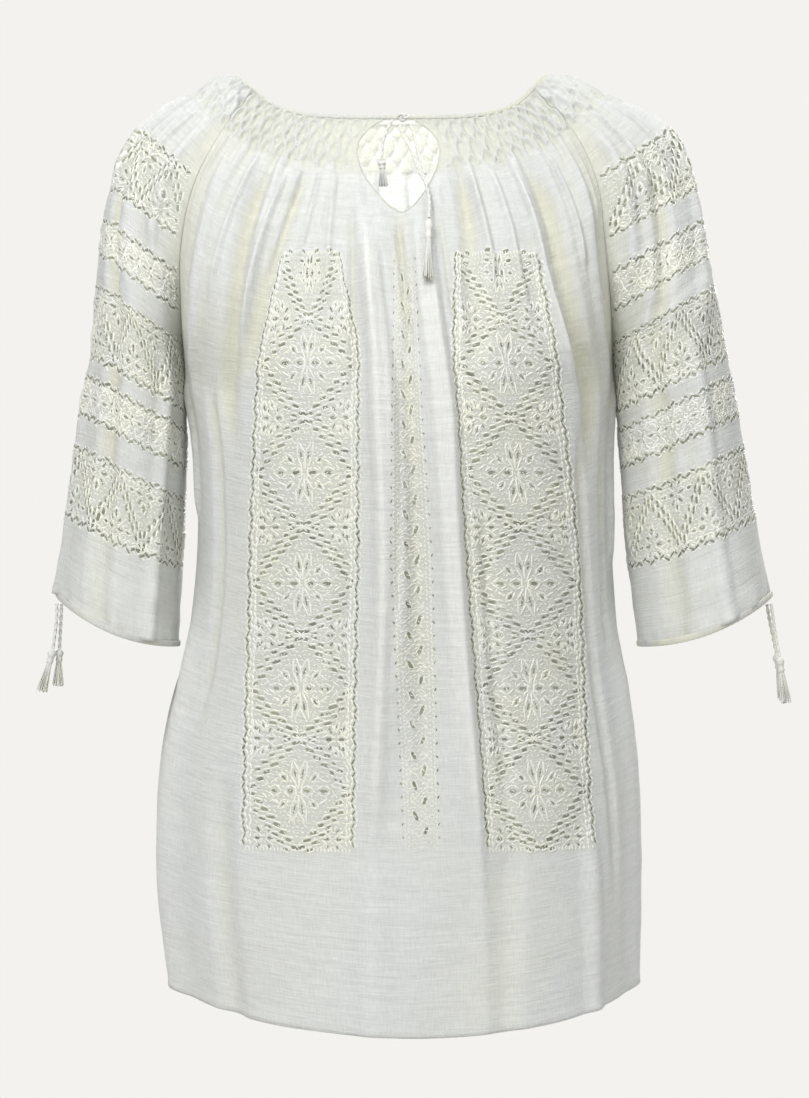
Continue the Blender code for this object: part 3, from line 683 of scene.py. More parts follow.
def front_panel(finish):
    """The front: two halves that share the centre line below the slit."""
    levels = stepped(SMOCKED_RUN, (1.06, 1.86, 36), (1.86, 3.0, 28), (3.0, HEM, 96))
    rows, columns = len(levels), FRONT_COLUMNS
    open_rows = int((slit_half_width(levels) > 0).sum())
    level = np.broadcast_to(levels[:, None], (rows, columns))
    across, base, height, points = {}, {}, {}, {}
    for side in (-1, 1):
        edge = slit_across(levels, side)[:, None]
        across[side] = (edge + (side - edge) * np.linspace(0, 1, columns))[:, ::side]
        base[side] = torso_point(level, across[side], -1)
        height[side] = front_relief(level, across[side])
    # The centre line belongs to both halves, so it is worked out once, as the +X half's.
    base[-1][open_rows:, -1] = torso_point(levels[open_rows:], np.zeros(rows - open_rows), -1)

    def side_by_side(halves):
        return np.concatenate([halves[-1], halves[1][:, 1:]], axis=1)

    whole_normals = outward(side_by_side(base))
    for side, cut in ((-1, np.s_[:, :columns]), (1, np.s_[:, columns - 1:])):
        normals = outward(base[side])
        normals[open_rows:] = whole_normals[cut][open_rows:]
        points[side] = base[side] + normals * height[side][:, :, None] * MM
    points[-1][open_rows:, -1] = points[1][open_rows:, 0]
    left = np.arange(rows * columns).reshape(rows, columns)
    right = left + rows * columns
    right[open_rows:, 0] = left[open_rows:, -1]
    halves = [
        panel_values(points[side], height[side], level, across[side], FRONT_HALF, columns_zone(points[side]))
        for side in (-1, 1)
    ]
    values = [np.concatenate(pair) for pair in zip(*halves)]
    obj = finished_panel("front_panel", grid_faces(left) + grid_faces(right), values, finish)
    joined = side_by_side(points)
    slit_rims = [points[-1][: open_rows + 1, -1], points[1][: open_rows + 1, 0]]
    return obj, Grid(levels, side_by_side(across), joined, outward(joined)), slit_rims


def whole_panel(name, levels, columns, surface, relief, half_width, zone, closed_from, finish):
    """A panel without a slit. Below closed_from, its two edges are sewn into a tube."""
    across = np.broadcast_to(columns[None, :], (len(levels), len(columns)))
    level = np.broadcast_to(levels[:, None], across.shape)
    height = relief(level, across)
    base = surface(level, across)
    points = base + outward(base) * height[:, :, None] * MM
    index = np.arange(across.size).reshape(across.shape)
    index[levels >= closed_from, -1] = index[levels >= closed_from, 0]
    values = panel_values(points, height, level, across, half_width, zone(level))
    obj = finished_panel(name, grid_faces(index), values, finish)
    return obj, Grid(levels, across, points, outward(points))


def back_panel(finish):
    def surface(level, across):
        return torso_point(level, across, 1)

    def relief(level, across):
        loose = folded(BACK_FOLDS, BACK_CREASES, level, across) + ripples(level, across, 4)
        loose = loose + gathers(level, across, PLEATS["back"], 12) + crinkle(level, across, 22)
        return loose * seam_fade(across) + smocking(level, across, PLEATS["back"]) + hem_band(level)

    levels = stepped(SMOCKED_RUN, (1.06, 3.0, 44), (3.0, HEM, 88))
    columns = np.linspace(1, -1, BACK_COLUMNS)
    unworked, never = np.zeros_like, math.inf
    return whole_panel("back_panel", levels, columns, surface, relief, BACK_HALF, unworked, never, finish)


def sleeve_panel(name, side, finish):
    def surface(level, across):
        points = sleeve_point(level, across, side)
        points[..., 0] += side * SEAM_GAP * 0.5
        return points

    def relief(level, across):
        folds = folded(SLEEVE_FOLDS[side], SLEEVE_CREASES[side], level, across)
        loose = folds + ripples(level, across, 5 + side) + crinkle(level, across, 23 + side) * 1.4
        loose += gathers(level, across, PLEATS["sleeve"], 14 + side)
        cuff = smooth_step((level - SLEEVE_END + 0.3) / 0.3)
        pinch = 0.8 * np.sin(across * 62 + 1.7 * np.sin(across * 9)) * cuff
        puff = 4.0 * np.exp(-(((level - 0.5) / 0.32) ** 2))
        return (loose + pinch + puff) * seam_fade(across) + smocking(level, across, PLEATS["sleeve"])

    def zone(level):
        bands = [smooth_step((level - b.top) / 0.04) * smooth_step((b.foot - level) / 0.04) for b in BANDS]
        return np.max(bands, axis=0)

    levels = stepped(SMOCKED_RUN, (1.06, 2.4, 34), (2.4, SLEEVE_END, 110))
    columns = np.linspace(-1, 1, SLEEVE_COLUMNS) * side
    return whole_panel(name, levels, columns, surface, relief, SLEEVE_HALF, zone, ARMPIT, finish)


# ---- embroidery patterns ----

# A column's left and right edges at heights, in millimetres, and the flowers and junctions down a wide one
Edge = namedtuple("Edge", "z left right")
COLUMNS = {
    "right": [Edge(-133, -86, -45), Edge(-200, -103, -31), Edge(-347, -110.5, -31), Edge(-550, -114, -34.5)],
    "left": [Edge(-133, 34.5, 93), Edge(-202, 32.5, 107), Edge(-347, 41.4, 124.3), Edge(-550, 56.6, 133.3)],
    "centre": [Edge(-137, -7, 7), Edge(-250, -8, 12), Edge(-347, -8.3, 18.6), Edge(-550, 0, 24)],
}
FLOWERS_Z = (-150, -211, -287, -364, -437, -508)
JUNCTIONS_Z = (-180, -249, -325, -400, -472, -550)
COLUMN_TOP, COLUMN_FOOT = -133, -550

# Half widths of the patterns as they are drawn, before they are fitted to the columns' edges
COLUMN_HALF = 41.0
CENTRE_HALF = 11.5
DIAMOND_HALF = 36.0

# A sleeve band's levels, and whether it is tall with V rows or narrow with a vine
Band = namedtuple("Band", "top foot tall")
BANDS = [Band(1.95, 2.95, True), Band(3.42, 4.03, False), Band(4.55, 5.55, True), Band(5.75, 6.2, False),
         Band(6.5, 7.2, True)]

# A stitch lies at a, b in its pattern's millimetres, turned in degrees from +a towards +b
Stitch = namedtuple("Stitch", "a b turn length width")


class Work:
    """The stitches of one piece of embroidery: raised thread, and eyelets that get flat patches of painted
    shade.
    """

    def __init__(self, seed):
        self.rng = np.random.default_rng(seed)
        self.raised = []
        self.eyelets = []

    def thread(self, a, b, turn, length, width):
        turn += self.rng.uniform(-8, 8)
        self.raised.append(Stitch(a, b, turn, length * self.rng.uniform(0.9, 1.12), width))

    def eyelet(self, a, b, turn, length, width):
        turn += self.rng.uniform(-7, 7)
        uneven = self.rng.uniform(0.72, 1.12, 2)
        self.eyelets.append(Stitch(a, b, turn, length * uneven[0], width * uneven[1]))


def column_frame(edges, z):
    """A column's middle and half width at heights, in millimetres."""
    heights = [e.z for e in edges][::-1]
    left = np.interp(z, heights, [e.left for e in edges][::-1])
    right = np.interp(z, heights, [e.right for e in edges][::-1])
    return (left + right) / 2, (right - left) / 2


def direction_of(turn):
    """The unit vector of a turn in degrees."""
    return np.array([math.cos(math.radians(turn)), math.sin(math.radians(turn))])


def dash(work, a, b, turn, length=6.6, width=2.1):
    """An eyelet with a raised stitch on each long side."""
    work.eyelet(a, b, turn, length, width)
    along, aside = direction_of(turn)
    for side in (-1, 1):
        off = side * (width * 0.5 + 0.85)
        work.thread(a - off * aside, b + off * along, turn, length * 1.05, 1.25)


def petal(work, a, b, direction, reach, breadth, shade=1.0):
    """An almond of raised thread round an eyelet, from a, b outwards."""
    along = direction_of(direction)
    aside = np.array([-along[1], along[0]])
    lean = math.degrees(math.atan2(breadth * 0.5, reach * 0.5))
    for side in (-1, 1):
        for share, tilt in ((0.27, 1), (0.75, -1)):
            spot = np.array([a, b]) + along * reach * share + aside * side * breadth * 0.36
            work.thread(*spot, direction + side * tilt * lean, reach * 0.56, 1.15)
    middle = np.array([a, b]) + along * reach * 0.52
    work.eyelet(*middle, direction, reach * 0.55 * shade, breadth * 0.42 * shade)


def eye(work, a, b, length, height):
    """An almond eyelet in a ring of four raised stitches."""
    work.eyelet(a, b, 0, length * 0.52, height * 0.34)
    for side in (-1, 1):
        for up in (-1, 1):
            lean = -side * up * math.degrees(math.atan2(height, length))
            work.thread(a + side * length * 0.25, b + up * height * 0.34, lean, length * 0.58, 1.1)


def flower(work, b, size):
    """Tall petals in pairs above and below a row of four eyes, with short leaves between them."""
    for direction, reach in ((77, 20), (103, 20), (257, 21), (283, 21)):
        start = 2 * direction_of(direction)
        petal(work, start[0], b + start[1], direction, reach * size, 5.2 * size, 0.62)
    for side in (-1, 1):
        for a in (6.0, 17.6):
            eye(work, side * a * size, b, 10.4 * size, 7.2 * size)
        for up in (-1, 1):
            direction = 90 - side * up * 40 + (180 if up < 0 else 0)
            petal(work, side * 8 * size, b + up * 5.5 * size, direction, 9.5 * size, 4.2 * size, 0.8)
            work.thread(side * 17 * size, b + up * 7.5 * size, -side * up * 32, 8 * size, 1.2)
            work.thread(side * 24.5 * size, b + up * 3.6 * size, -side * up * 38, 6 * size, 1.2)
        work.thread(side * 2.2 * size, b, 90, 9 * size, 1.2)


def side_flower(work, a, b, size):
    """Two eyes side by side between short slanted petals."""
    for side in (-1, 1):
        eye(work, a + side * 5.4 * size, b, 9.4 * size, 6.4 * size)
    for direction in (56, 124, 236, 304):
        out = direction_of(direction)
        spot = (a + 4.0 * size * out[0], b + 4.0 * size * out[1])
        work.eyelet(spot[0] + 3.6 * out[0], spot[1] + 3.6 * out[1], direction, 4.6 * size, 1.5 * size)
        for lean in (-12, 12):
            off = 4.2 * direction_of(direction + lean * 3)
            work.thread(spot[0] + off[0], spot[1] + off[1], direction + lean, 6.4 * size, 0.95)


def diamond_sides(work, centre, top, foot):
    """Rows of dashes from the upper junction out to the border and back in to the lower one, with a fainter
    second row outside them."""
    for end in (top, foot):
        up = 1 if end > centre else -1
        rise = abs(end - centre)
        count = max(2, round(rise / 5.2))
        for i in range(count):
            share = (i + 0.5) / count
            a, b = DIAMOND_HALF * share, end + (centre - end) * share
            for side in (-1, 1):
                dash(work, side * a, b, -15 * side * up)
                if 3 < a < DIAMOND_HALF - 3:
                    dash(work, side * (a + 1.5), b + up * 6.6, -15 * side * up, 5.8, 1.7)


def filling(work, left, right, low, high, pitch=3.5):
    """The ground's fine stitches, leaning one way and the other in turn."""
    for i, b in enumerate(np.arange(low, high, pitch)):
        for j, a in enumerate(np.arange(left + (i % 2) * pitch / 2, right, pitch)):
            spot = work.rng.uniform(-0.9, 0.9, 2)
            lean = (38 if (i + j) % 2 else -38) + work.rng.uniform(-25, 25)
            work.thread(a + spot[0], b + spot[1], lean, 3.0, 0.8)


def side_borders(work, top, foot, half):
    """Wavy eyelets down each edge, with a raised chain and a plain raised line inside them."""
    step = 4.4
    for i in range(int((top - foot) / step)):
        b = top - (i + 0.5) * step
        lean = 1 if i % 2 else -1
        edge = half + 1.2 * math.sin(i * 1.15) * 0.6
        for side in (-1, 1):
            work.eyelet(side * edge, b, 90 + 24 * lean, 4.6, 1.25)
            work.thread(side * (edge - 1.9), b + 1.2, 90 + 20 * lean, 5.0, 1.5)
            work.thread(side * (edge + 1.9), b - 0.8, 90 + 20 * lean, 4.2, 1.0)
            work.thread(side * (half - 4.6), b, 90 + 14 * lean, 4.8, 1.4)


def leaves(work, junction, half):
    """Slender leaves in the corners between the diamonds and the border, above and below a junction."""
    for side in (-1, 1):
        for lean in (1, -1):
            b = junction - lean * 13
            petal(work, side * (half - 8), b, 90 + lean * side * 10, 12 * lean, 3.8, 0.7)
            petal(work, side * (half - 13), b, 90 + lean * side * 26, 8.5 * lean, 3.4, 0.7)
            work.thread(side * (half - 17), b + lean * 6, 90 + lean * side * 40, 6.5, 1.2)


def wide_column(seed):
    """Five and a half diamonds, one over the other, with a flower in each and half flowers beside them."""
    work = Work(seed)
    side_borders(work, COLUMN_TOP, COLUMN_FOOT, COLUMN_HALF - 1.5)
    tops = (COLUMN_TOP, *JUNCTIONS_Z[:-1])
    for centre, top, foot in zip(FLOWERS_Z, tops, JUNCTIONS_Z):
        # The topmost is only the lower half of a diamond, with a small flower.
        topmost = top == COLUMN_TOP
        diamond_sides(work, top if topmost else centre, top, foot)
        flower(work, centre + 2 if topmost else centre, 0.62 if topmost else 1.0)
    for junction in JUNCTIONS_Z[:-1]:
        for side in (-1, 1):
            side_flower(work, side * 25.5, junction, 0.92)
        leaves(work, junction, COLUMN_HALF)
        for turn in (45, -45):
            work.thread(0, junction, turn, 9, 1.5)
        for up in (4, -4):
            work.eyelet(0, junction + up, 0, 4, 1.6)
    for side in (-1, 1):
        side_flower(work, side * 25, JUNCTIONS_Z[-1] + 9, 0.85)
        for b, size in ((COLUMN_TOP - 5.5, 0.85), (COLUMN_TOP - 15.5, 1.0)):
            work.eyelet(side * 2.5 * size, b, 90 - side * 8, 8.6 * size, 2.9 * size)
            work.thread(side * 5.2 * size, b, 90 + side * 10, 9.5 * size, 1.3)
    for b in (COLUMN_TOP - 1, COLUMN_FOOT + 1):
        for a in np.arange(-38, 38, 2.6):
            work.thread(a, b, 90, 3.4, 1.0)
    filling(work, -36, 36, COLUMN_FOOT + 3, COLUMN_TOP - 2)
    return work


def centre_column(seed):
    """Slanted slender leaves, left and right in turn, between two dotted chains."""
    work = Work(seed)
    for i, b in enumerate(np.arange(-141, COLUMN_FOOT + 2, -3.1)):
        for side in (-1, 1):
            lean = 26 if i % 2 else -26
            work.thread(side * (CENTRE_HALF - 1.2), b, 90 + lean, 2.9, 0.8)
            work.thread(side * (CENTRE_HALF - 3.4), b + 1.5, 90 - lean, 2.6, 0.7)
            if i % 3 == 0:
                work.eyelet(side * (CENTRE_HALF + 0.4), b + 1.5, 90 + lean, 2.4, 0.8)
    for i, b in enumerate(np.arange(-150, COLUMN_FOOT + 5, -10.4)):
        side = 1 if i % 2 else -1
        work.eyelet(side * 3.2, b, 90 - side * 20, 7.2, 2.0)
        for off in (-1.6, 1.6):
            work.thread(side * 3.2 + off, b, 90 - side * 20, 7.4, 0.85)
        for k in range(3):
            work.thread(-side * (1.0 + 2.2 * k), b + 3.4 - 2.2 * k, side * 40, 3.4, 0.85)
            work.thread(-side * (1.0 + 2.2 * k), b - 4.0 + 1.8 * k, -side * 40, 3.2, 0.8)
    filling(work, -8, 8, COLUMN_FOOT + 3, -140, 3.2)
    return work


def band_edges(work, half, height):
    """A wavy line of eyelets with raised thread along both edges of a band."""
    step = 4.1
    for i in range(int(2 * half / step)):
        a = -half + (i + 0.5) * step
        wave = 1.5 * math.sin(i * math.pi / 1.6)
        turn = 30 if i % 2 else -30
        for edge, inward in ((0.0, 1), (height, -1)):
            work.eyelet(a, edge + inward * 1.4 + wave, turn, 5.4, 1.55)
            work.thread(a + 1.0, edge + inward * 3.6 + wave, turn, 4.6, 1.2)
            work.thread(a + 1.5, edge - inward * 0.4 + wave, -turn, 4.2, 1.1)
            work.thread(a, edge + inward * 5.6, turn * 0.6, 4.2, 1.1)


def tall_band(work, half, height):
    """V rows of upright dashes, with flowers in the triangles that they leave."""
    band_edges(work, half, height)
    period = 50.0
    low, high = 6.5, height - 6.5
    filling(work, -half + 2, half - 2, 4, height - 4)
    for a in np.arange(-half + 2, half - 2, 3.6):
        phase = (a / period) % 1.0
        rise = 1 - abs(2 * phase - 1)
        lean = 9 if phase < 0.5 else -9
        for offset in (-4.2, 4.2):
            b = low + (high - low) * rise + offset
            if low - 3 < b < high + 3:
                work.eyelet(a, b, 90 - lean, 6.4, 2.1)
                work.thread(a + 1.8, b, 90 - lean, 7.0, 1.5)
    for k in range(-int(half / period) - 1, int(half / period) + 2):
        for centre, b, up in ((k * period, high - 4.5, -1), ((k + 0.5) * period, low + 4.5, 1)):
            if abs(centre) > half - 8:
                continue
            side_flower(work, centre, b, 0.95)
            for side in (-1, 1):
                petal(work, centre + side * 9, b, 90 - side * 90, 7, 3.8)
            petal(work, centre, b + up * 5, 180 - up * 90, 10, 4.4)


def narrow_band(work, half, height):
    """Interlaced vines of raised leaves, dense, with small eyelets in their loops."""
    band_edges(work, half, height)
    filling(work, -half + 2, half - 2, 4, height - 4, 3.0)
    middle, swing, period = height / 2, height / 2 - 5.5, 27.0
    for a in np.arange(-half + 2, half - 2, 3.3):
        for sign in (-1, 1):
            phase = 2 * math.pi * a / period
            b = middle + sign * swing * math.sin(phase)
            turn = math.degrees(math.atan(sign * swing * math.cos(phase) * 2 * math.pi / period))
            work.thread(a, b, turn, 5.4, 1.5)
            work.thread(a + 1.4, b + 2.0, turn + 35, 4.0, 1.1)
            work.thread(a + 0.8, b - 2.0, turn - 35, 4.0, 1.1)
    for k in range(-int(2 * half / period), int(2 * half / period) + 1):
        a = (k + 0.5) * period / 2
        if abs(a) < half - 4:
            petal(work, a - 4.5, middle, 0, 9, 4.0, 0.8)
            for up in (1, -1):
                work.eyelet(a + 6.5, middle + up * 2.4, up * 40, 3.2, 1.3)


# ---- embroidery meshes ----

# A raised stitch has two tips and two rows of three points, and an eyelet, a flat dark patch of painted
# shade, two tips and two rows of two.
# Each is one long and one wide. The foot and the crest of a stitch of full width lie so far off the cloth, in
# millimetres.
Form = namedtuple("Form", "points faces foot crest")
RAISED = Form(
    np.array([(-0.5, 0, 0.0), (-0.24, -0.5, 0.0), (-0.24, 0, 1.0), (-0.24, 0.5, 0.0),
              (0.24, -0.5, 0.0), (0.24, 0, 1.0), (0.24, 0.5, 0.0), (0.5, 0, 0.0)]),
    [(0, 1, 2), (0, 2, 3), (1, 4, 5, 2), (2, 5, 6, 3), (4, 7, 5), (5, 7, 6)], 0.02, 0.75)
EYELET_SHADE_PATCH = Form(
    np.array([(-0.5, 0, 0), (-0.3, -0.5, 0), (-0.3, 0.5, 0), (0.3, -0.5, 0), (0.3, 0.5, 0), (0.5, 0, 0)]),
    [(0, 1, 2), (1, 3, 4, 2), (3, 5, 4)], 0.16, 0.16)
FULL_WIDTH = 1.3


def stitch_points(stitches, shape):
    """Every stitch's points in its pattern: stitches by points by a and b."""
    s = np.array(stitches, float)
    turn = np.radians(s[:, 2])[:, None]
    along = shape[None, :, 0] * s[:, 3, None]
    aside = shape[None, :, 1] * s[:, 4, None]
    a = s[:, 0, None] + along * np.cos(turn) - aside * np.sin(turn)
    b = s[:, 1, None] + along * np.sin(turn) + aside * np.cos(turn)
    return a, b


def on_cloth(grid, level, across, lift):
    """Points a lift in millimetres above the cloth, at levels and places across it."""
    rows, columns = grid.points.shape[:2]
    i = np.interp(level, grid.levels, np.arange(rows))
    first, last = grid.across[-1, 0], grid.across[-1, -1]
    j = np.clip((across - first) / (last - first), 0, 1) * (columns - 1)
    i0 = np.minimum(i.astype(int), rows - 2)
    j0 = np.minimum(j.astype(int), columns - 2)
    fi, fj = (i - i0)[..., None], (j - j0)[..., None]

    def blended(values):
        upper = values[i0, j0] * (1 - fj) + values[i0, j0 + 1] * fj
        lower = values[i0 + 1, j0] * (1 - fj) + values[i0 + 1, j0 + 1] * fj
        return upper * (1 - fi) + lower * fi

    return blended(grid.points) + blended(grid.normals) * np.asarray(lift)[..., None] * MM


def front_place(x, z):
    """Level and place across of the front's points that show at x, z millimetres. They are found in small
    steps from a guess, with a level taken as 82 mm tall and a unit of across as 190 mm wide."""
    level = np.clip(2 + (TORSO[2].front_z - z) / 75, 1, HEM)
    across = x / FRONT_SPREAD
    for _ in range(26):
        at = torso_point(level, across, -1) / MM
        level = np.clip(level + (at[..., 2] - z) / 82, 1, HEM)
        across = np.clip(across + (x - at[..., 0]) / 190, -0.97, 0.97)
    return level, across


def stitch_mesh(name, points, form, finish):
    """Many stitches of one form as one mesh, from an array of stitches by points."""
    count, size = points.shape[:2]
    faces = [tuple(start + k for k in face) for start in range(0, count * size, size) for face in form.faces]
    return add_mesh(name, points, faces, finish)


def sew(name, stitches, form, place, grid, finish):
    """One mesh of joined stitches. place turns a pattern's a, b into level and across."""
    level, across = place(*stitch_points(stitches, form.points))
    full = np.array([s.width for s in stitches])[:, None] / FULL_WIDTH
    height = form.foot + (form.crest - form.foot) * full * form.points[None, :, 2]
    stitch_mesh(name, on_cloth(grid, level, across, height), form, finish)


def sew_work(name, work, place, grid, thread, shade):
    sew(name + "_thread", work.raised, RAISED, place, grid, thread)
    # Eyelets are flat dark patches of painted shade lying on the cloth, not openings in it
    sew(name + "_eyelet_painted_shade", work.eyelets, EYELET_SHADE_PATCH, place, grid, shade)


def embroider_front(grid, thread, shade):
    for i, (name, edges) in enumerate(COLUMNS.items()):
        nominal = CENTRE_HALF if name == "centre" else COLUMN_HALF
        work = centre_column(31) if name == "centre" else wide_column(32 + i)

        def place(a, b, edges=edges, nominal=nominal):
            centre, half = column_frame(edges, b)
            return front_place(centre + a * half / nominal, b)

        sew_work("column_" + name, work, place, grid, thread, shade)


def embroider_sleeve(name, side, grid, thread, shade):
    """Bands round a sleeve, each in millimetres round from the outer line and up from its foot."""
    for i, band in enumerate(BANDS):
        ring = sleeve_point(np.full(60, (band.top + band.foot) / 2), np.linspace(0, 1, 60), side)
        half_arc = steps(ring).sum() / MM
        rail = sleeve_point(np.array([band.top, band.foot]), np.array([-0.3, -0.3]), side)
        height = np.linalg.norm(rail[1] - rail[0]) / MM
        work = Work(50 + i * 2 + side)
        (tall_band if band.tall else narrow_band)(work, half_arc * 0.97, height)

        def place(a, b, band=band, half_arc=half_arc, height=height):
            level = band.foot + (band.top - band.foot) * b / height
            return level, np.clip(side * a / half_arc, -0.995, 0.995)

        sew_work(f"{name}_band_{i}", work, place, grid, thread, shade)


def row_stitches(name, grid, level, across, size, level_height, thread):
    """Small raised stitches at levels and places across; size is length, width and height in millimetres."""
    length, width, height = size
    before, after = (on_cloth(grid, level, across + off, 0) for off in (-0.005, 0.005))
    reach = np.linalg.norm(after - before, axis=1)[:, None] / 0.01 / MM
    along, aside, up = RAISED.points.T[:, None]
    levels = level[:, None] + aside * width / level_height
    places = across[:, None] + along * length / reach
    stitch_mesh(name, on_cloth(grid, levels, places, 0.05 + up * height), RAISED, thread)


def smocking_stitches(name, grid, pleats, shy, thread):
    """Pairs of small stitches where two pleats of the honeycomb meet, none nearer the middle than shy."""
    rows = int(round((SMOCK_FOOT - SMOCK_TOP) / SMOCK_ROW)) + 1
    spots = [(SMOCK_TOP + row * SMOCK_ROW + up * 0.018, 2 * k / pleats - 1)
             for row in range(rows) for k in range(1, pleats) if (k + row) % 2 == 0 for up in (-1, 1)]
    level, across = np.array([spot for spot in spots if shy <= abs(spot[1]) < 0.97]).T
    row_stitches(name, grid, level, across, (3.2, 1.1, 0.8), SMOCK_LEVEL, thread)


def small_stitches(grids, thread):
    """The smocking's own stitches and the running row of the hem."""
    for name, grid in grids.items():
        shy = 0.30 if name == "front_panel" else 0.0
        smocking_stitches(name + "_smocking", grid, PLEATS[name.split("_")[0]], shy, thread)
    for name in ("front_panel", "back_panel"):
        places = np.arange(-0.985, 0.985, 0.0125)
        level = np.full(len(places), HEM - HEM_SEAM / HEM_LEVEL)
        row_stitches(name + "_hem_row", grids[name], level, places, (1.9, 0.5, 0.25), HEM_LEVEL, thread)


# ---- bands, cords and tassels ----

def swept(path, outs, ups, profile):
    """Rings of a profile along a path: profile(i) gives ring i's (out, up) offsets in metres."""
    profiles = np.array([profile(i) for i in range(len(path))])
    return path[:, None] + outs[:, None] * profiles[:, :, :1] + ups[:, None] * profiles[:, :, 1:]


def ring_faces(rows, sides, closed=False):
    """Faces of a tube of rings. closed joins its last ring to its first, and an open tube gets end caps."""
    index = np.arange(rows * sides).reshape(rows, sides)
    index = np.concatenate([index, index[:, :1]], axis=1)
    if closed:
        return grid_faces(np.concatenate([index, index[:1]], axis=0))
    return grid_faces(index) + [index[0, :-1][::-1].tolist(), index[-1, :-1].tolist()]


def ring_mesh(name, rings, finish, closed=False):
    return add_mesh(name, rings, ring_faces(*rings.shape[:2], closed), finish)


def gathered_band(name, node, upper, lower, half_thick, finish):
    """A folded strip between an upper and a lower edge line, all round, puckered by its drawstring."""
    middle = (upper + lower) / 2
    half_height = np.linalg.norm(upper - lower, axis=1, keepdims=True) / 2
    ups = (upper - lower) / (2 * half_height)
    outs = unit(np.cross(-ups, np.roll(middle, -1, axis=0) - np.roll(middle, 1, axis=0)))
    along = distances(middle) / MM
    puckers = round(along[-1] / 4.4)
    turns = around(14)

    def profile(i):
        phase = 2 * math.pi * puckers * along[i] / along[-1]
        pucker = 1 + 0.20 * math.cos(phase + 0.9 * math.sin(phase / puckers * 7))
        tall = half_height[i, 0] * (1 + 0.05 * math.cos(phase + 1.1))
        out = np.sign(np.sin(turns)) * np.abs(np.sin(turns)) ** 0.8 * half_thick * pucker
        up = -np.sign(np.cos(turns)) * np.abs(np.cos(turns)) ** 0.7 * tall
        return np.stack([out, up], axis=1)

    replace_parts(ring_mesh(name, swept(middle, outs, ups, profile), finish, closed=True), node)


def neck_line(level):
    """The neck edge at a level, right round from the centre front by way of +X."""
    runs = [(torso_point, -1, 0, 1, 130), (sleeve_point, 1, -1, 1, 80), (torso_point, 1, 1, -1, 230),
            (sleeve_point, -1, 1, -1, 80), (torso_point, -1, -1, 0, 130)]
    return np.concatenate([
        surface(np.full(count, level), np.linspace(start, end, count, endpoint=False), which)
        for surface, which, start, end, count in runs])


def neck_binding(finish):
    gathered_band("neck_binding_strip", "neck_binding", neck_line(0.0), neck_line(0.13), 1.35 * MM, finish)


def cuff_casing(name, side, finish):
    across = np.linspace(-1, 1, 240, endpoint=False) * side
    upper, lower = (sleeve_point(np.full(240, level), across, side) for level in (CUFF - 0.1, CUFF))
    gathered_band(name + "_strip", name, upper, lower, 1.3 * MM, finish)


def evenly(line, count):
    """The line's course as count points that lie evenly along it."""
    along = distances(line)
    at = np.linspace(0, along[-1], count)
    return np.stack([np.interp(at, along, line[:, k]) for k in range(3)], axis=1)


def smooth_route(points, spacing):
    """Points a spacing apart on a smooth curve through a cord's own points, in metres."""
    table = [Place(*p) for p in np.array(points, float) * MM]
    fine = np.stack(section(table, np.linspace(0, len(table) - 1, 60 * len(table))), axis=1)
    return evenly(fine, max(3, round(distances(fine)[-1] / spacing)))


def carried_frame(route):
    """Two directions square to a route at each of its points, carried along it without twist."""
    tangents = unit(np.gradient(route, axis=0))
    first = np.cross(tangents[0], [0.3, 1.0, 0.1])
    firsts = []
    for t in tangents:
        first = unit(first - t * np.dot(first, t))
        firsts.append(first)
    return np.array(firsts), np.cross(tangents, firsts)


def twisted_tube(name, route, radius, finish, lobes=2, pitch=5.2 * MM, closed=False):
    """A plied cord: a lobed outline that turns along the route."""
    firsts, seconds = carried_frame(route)
    along = distances(route)
    turns = around(16)

    def profile(i):
        twist = 2 * math.pi * along[i] / pitch
        out = radius * (0.80 + 0.22 * np.cos(lobes * (turns - twist / lobes)))
        return np.stack([out * np.cos(turns), out * np.sin(turns)], axis=1)

    return ring_mesh(name, swept(route, firsts, seconds, profile), finish, closed)


def tassel_head(name, top, axis, first, second, finish):
    """A bound head, turned by its outline, with the winding's ridges on its neck."""
    turns = around(20)
    drops = np.linspace(0, TASSEL[-1].drop, 26)
    radii = np.interp(drops, [t.drop for t in TASSEL], [t.radius for t in TASSEL])
    rings = []
    for k, (drop, radius) in enumerate(zip(drops, radii)):
        wrap = 0.16 * math.cos(k * 2.4) if 0.17 < drop < 0.26 else 0.0
        out = (radius + wrap + 0.14 * np.cos(turns * 9 + drop * 30)) * MM
        ring = np.outer(np.cos(turns) * out, first) - np.outer(np.sin(turns) * out, second)
        rings.append(top + axis * drop + ring)
    head = ring_mesh(name + "_head", np.array(rings), finish)
    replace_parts(head, name)
    return head


def tassel(name, top, foot, finish, seed):
    """A bound head over a skirt of loose threads."""
    rng = np.random.default_rng(seed)
    top, foot = np.array(top) * MM, np.array(foot) * MM
    axis = foot - top
    first = unit(np.cross(unit(axis), [0, 1, 0]))
    second = np.cross(unit(axis), first)
    head = tassel_head(name, top, axis, first, second, finish)
    strands = []
    runs = np.linspace(0.2, 1.0, 9)
    for i in range(TASSEL_THREADS):
        angle = i * GOLDEN_ANGLE + rng.uniform(-0.2, 0.2)
        spread_out = math.sqrt((i + 0.5) / TASSEL_THREADS) * rng.uniform(0.85, 1.05)
        reach = rng.uniform(0.90, 1.0)
        sway = rng.uniform(-1, 1, 2)
        flare = 1.3 + 2.9 * np.clip((runs - 0.22) / 0.78, 0, 1) ** 1.15
        strands.append(thread_rings(np.array([
            top + axis * (0.2 + (r - 0.2) * reach)
            + (first * math.cos(angle) + second * math.sin(angle)) * spread_out * f * MM
            + (first * sway[0] + second * sway[1]) * 0.7 * MM * r * math.sin(3.2 * r + angle)
            for r, f in zip(runs, flare)
        ]), 0.34 * MM))
    return head, joined_tubes(name + "_threads", strands, finish)


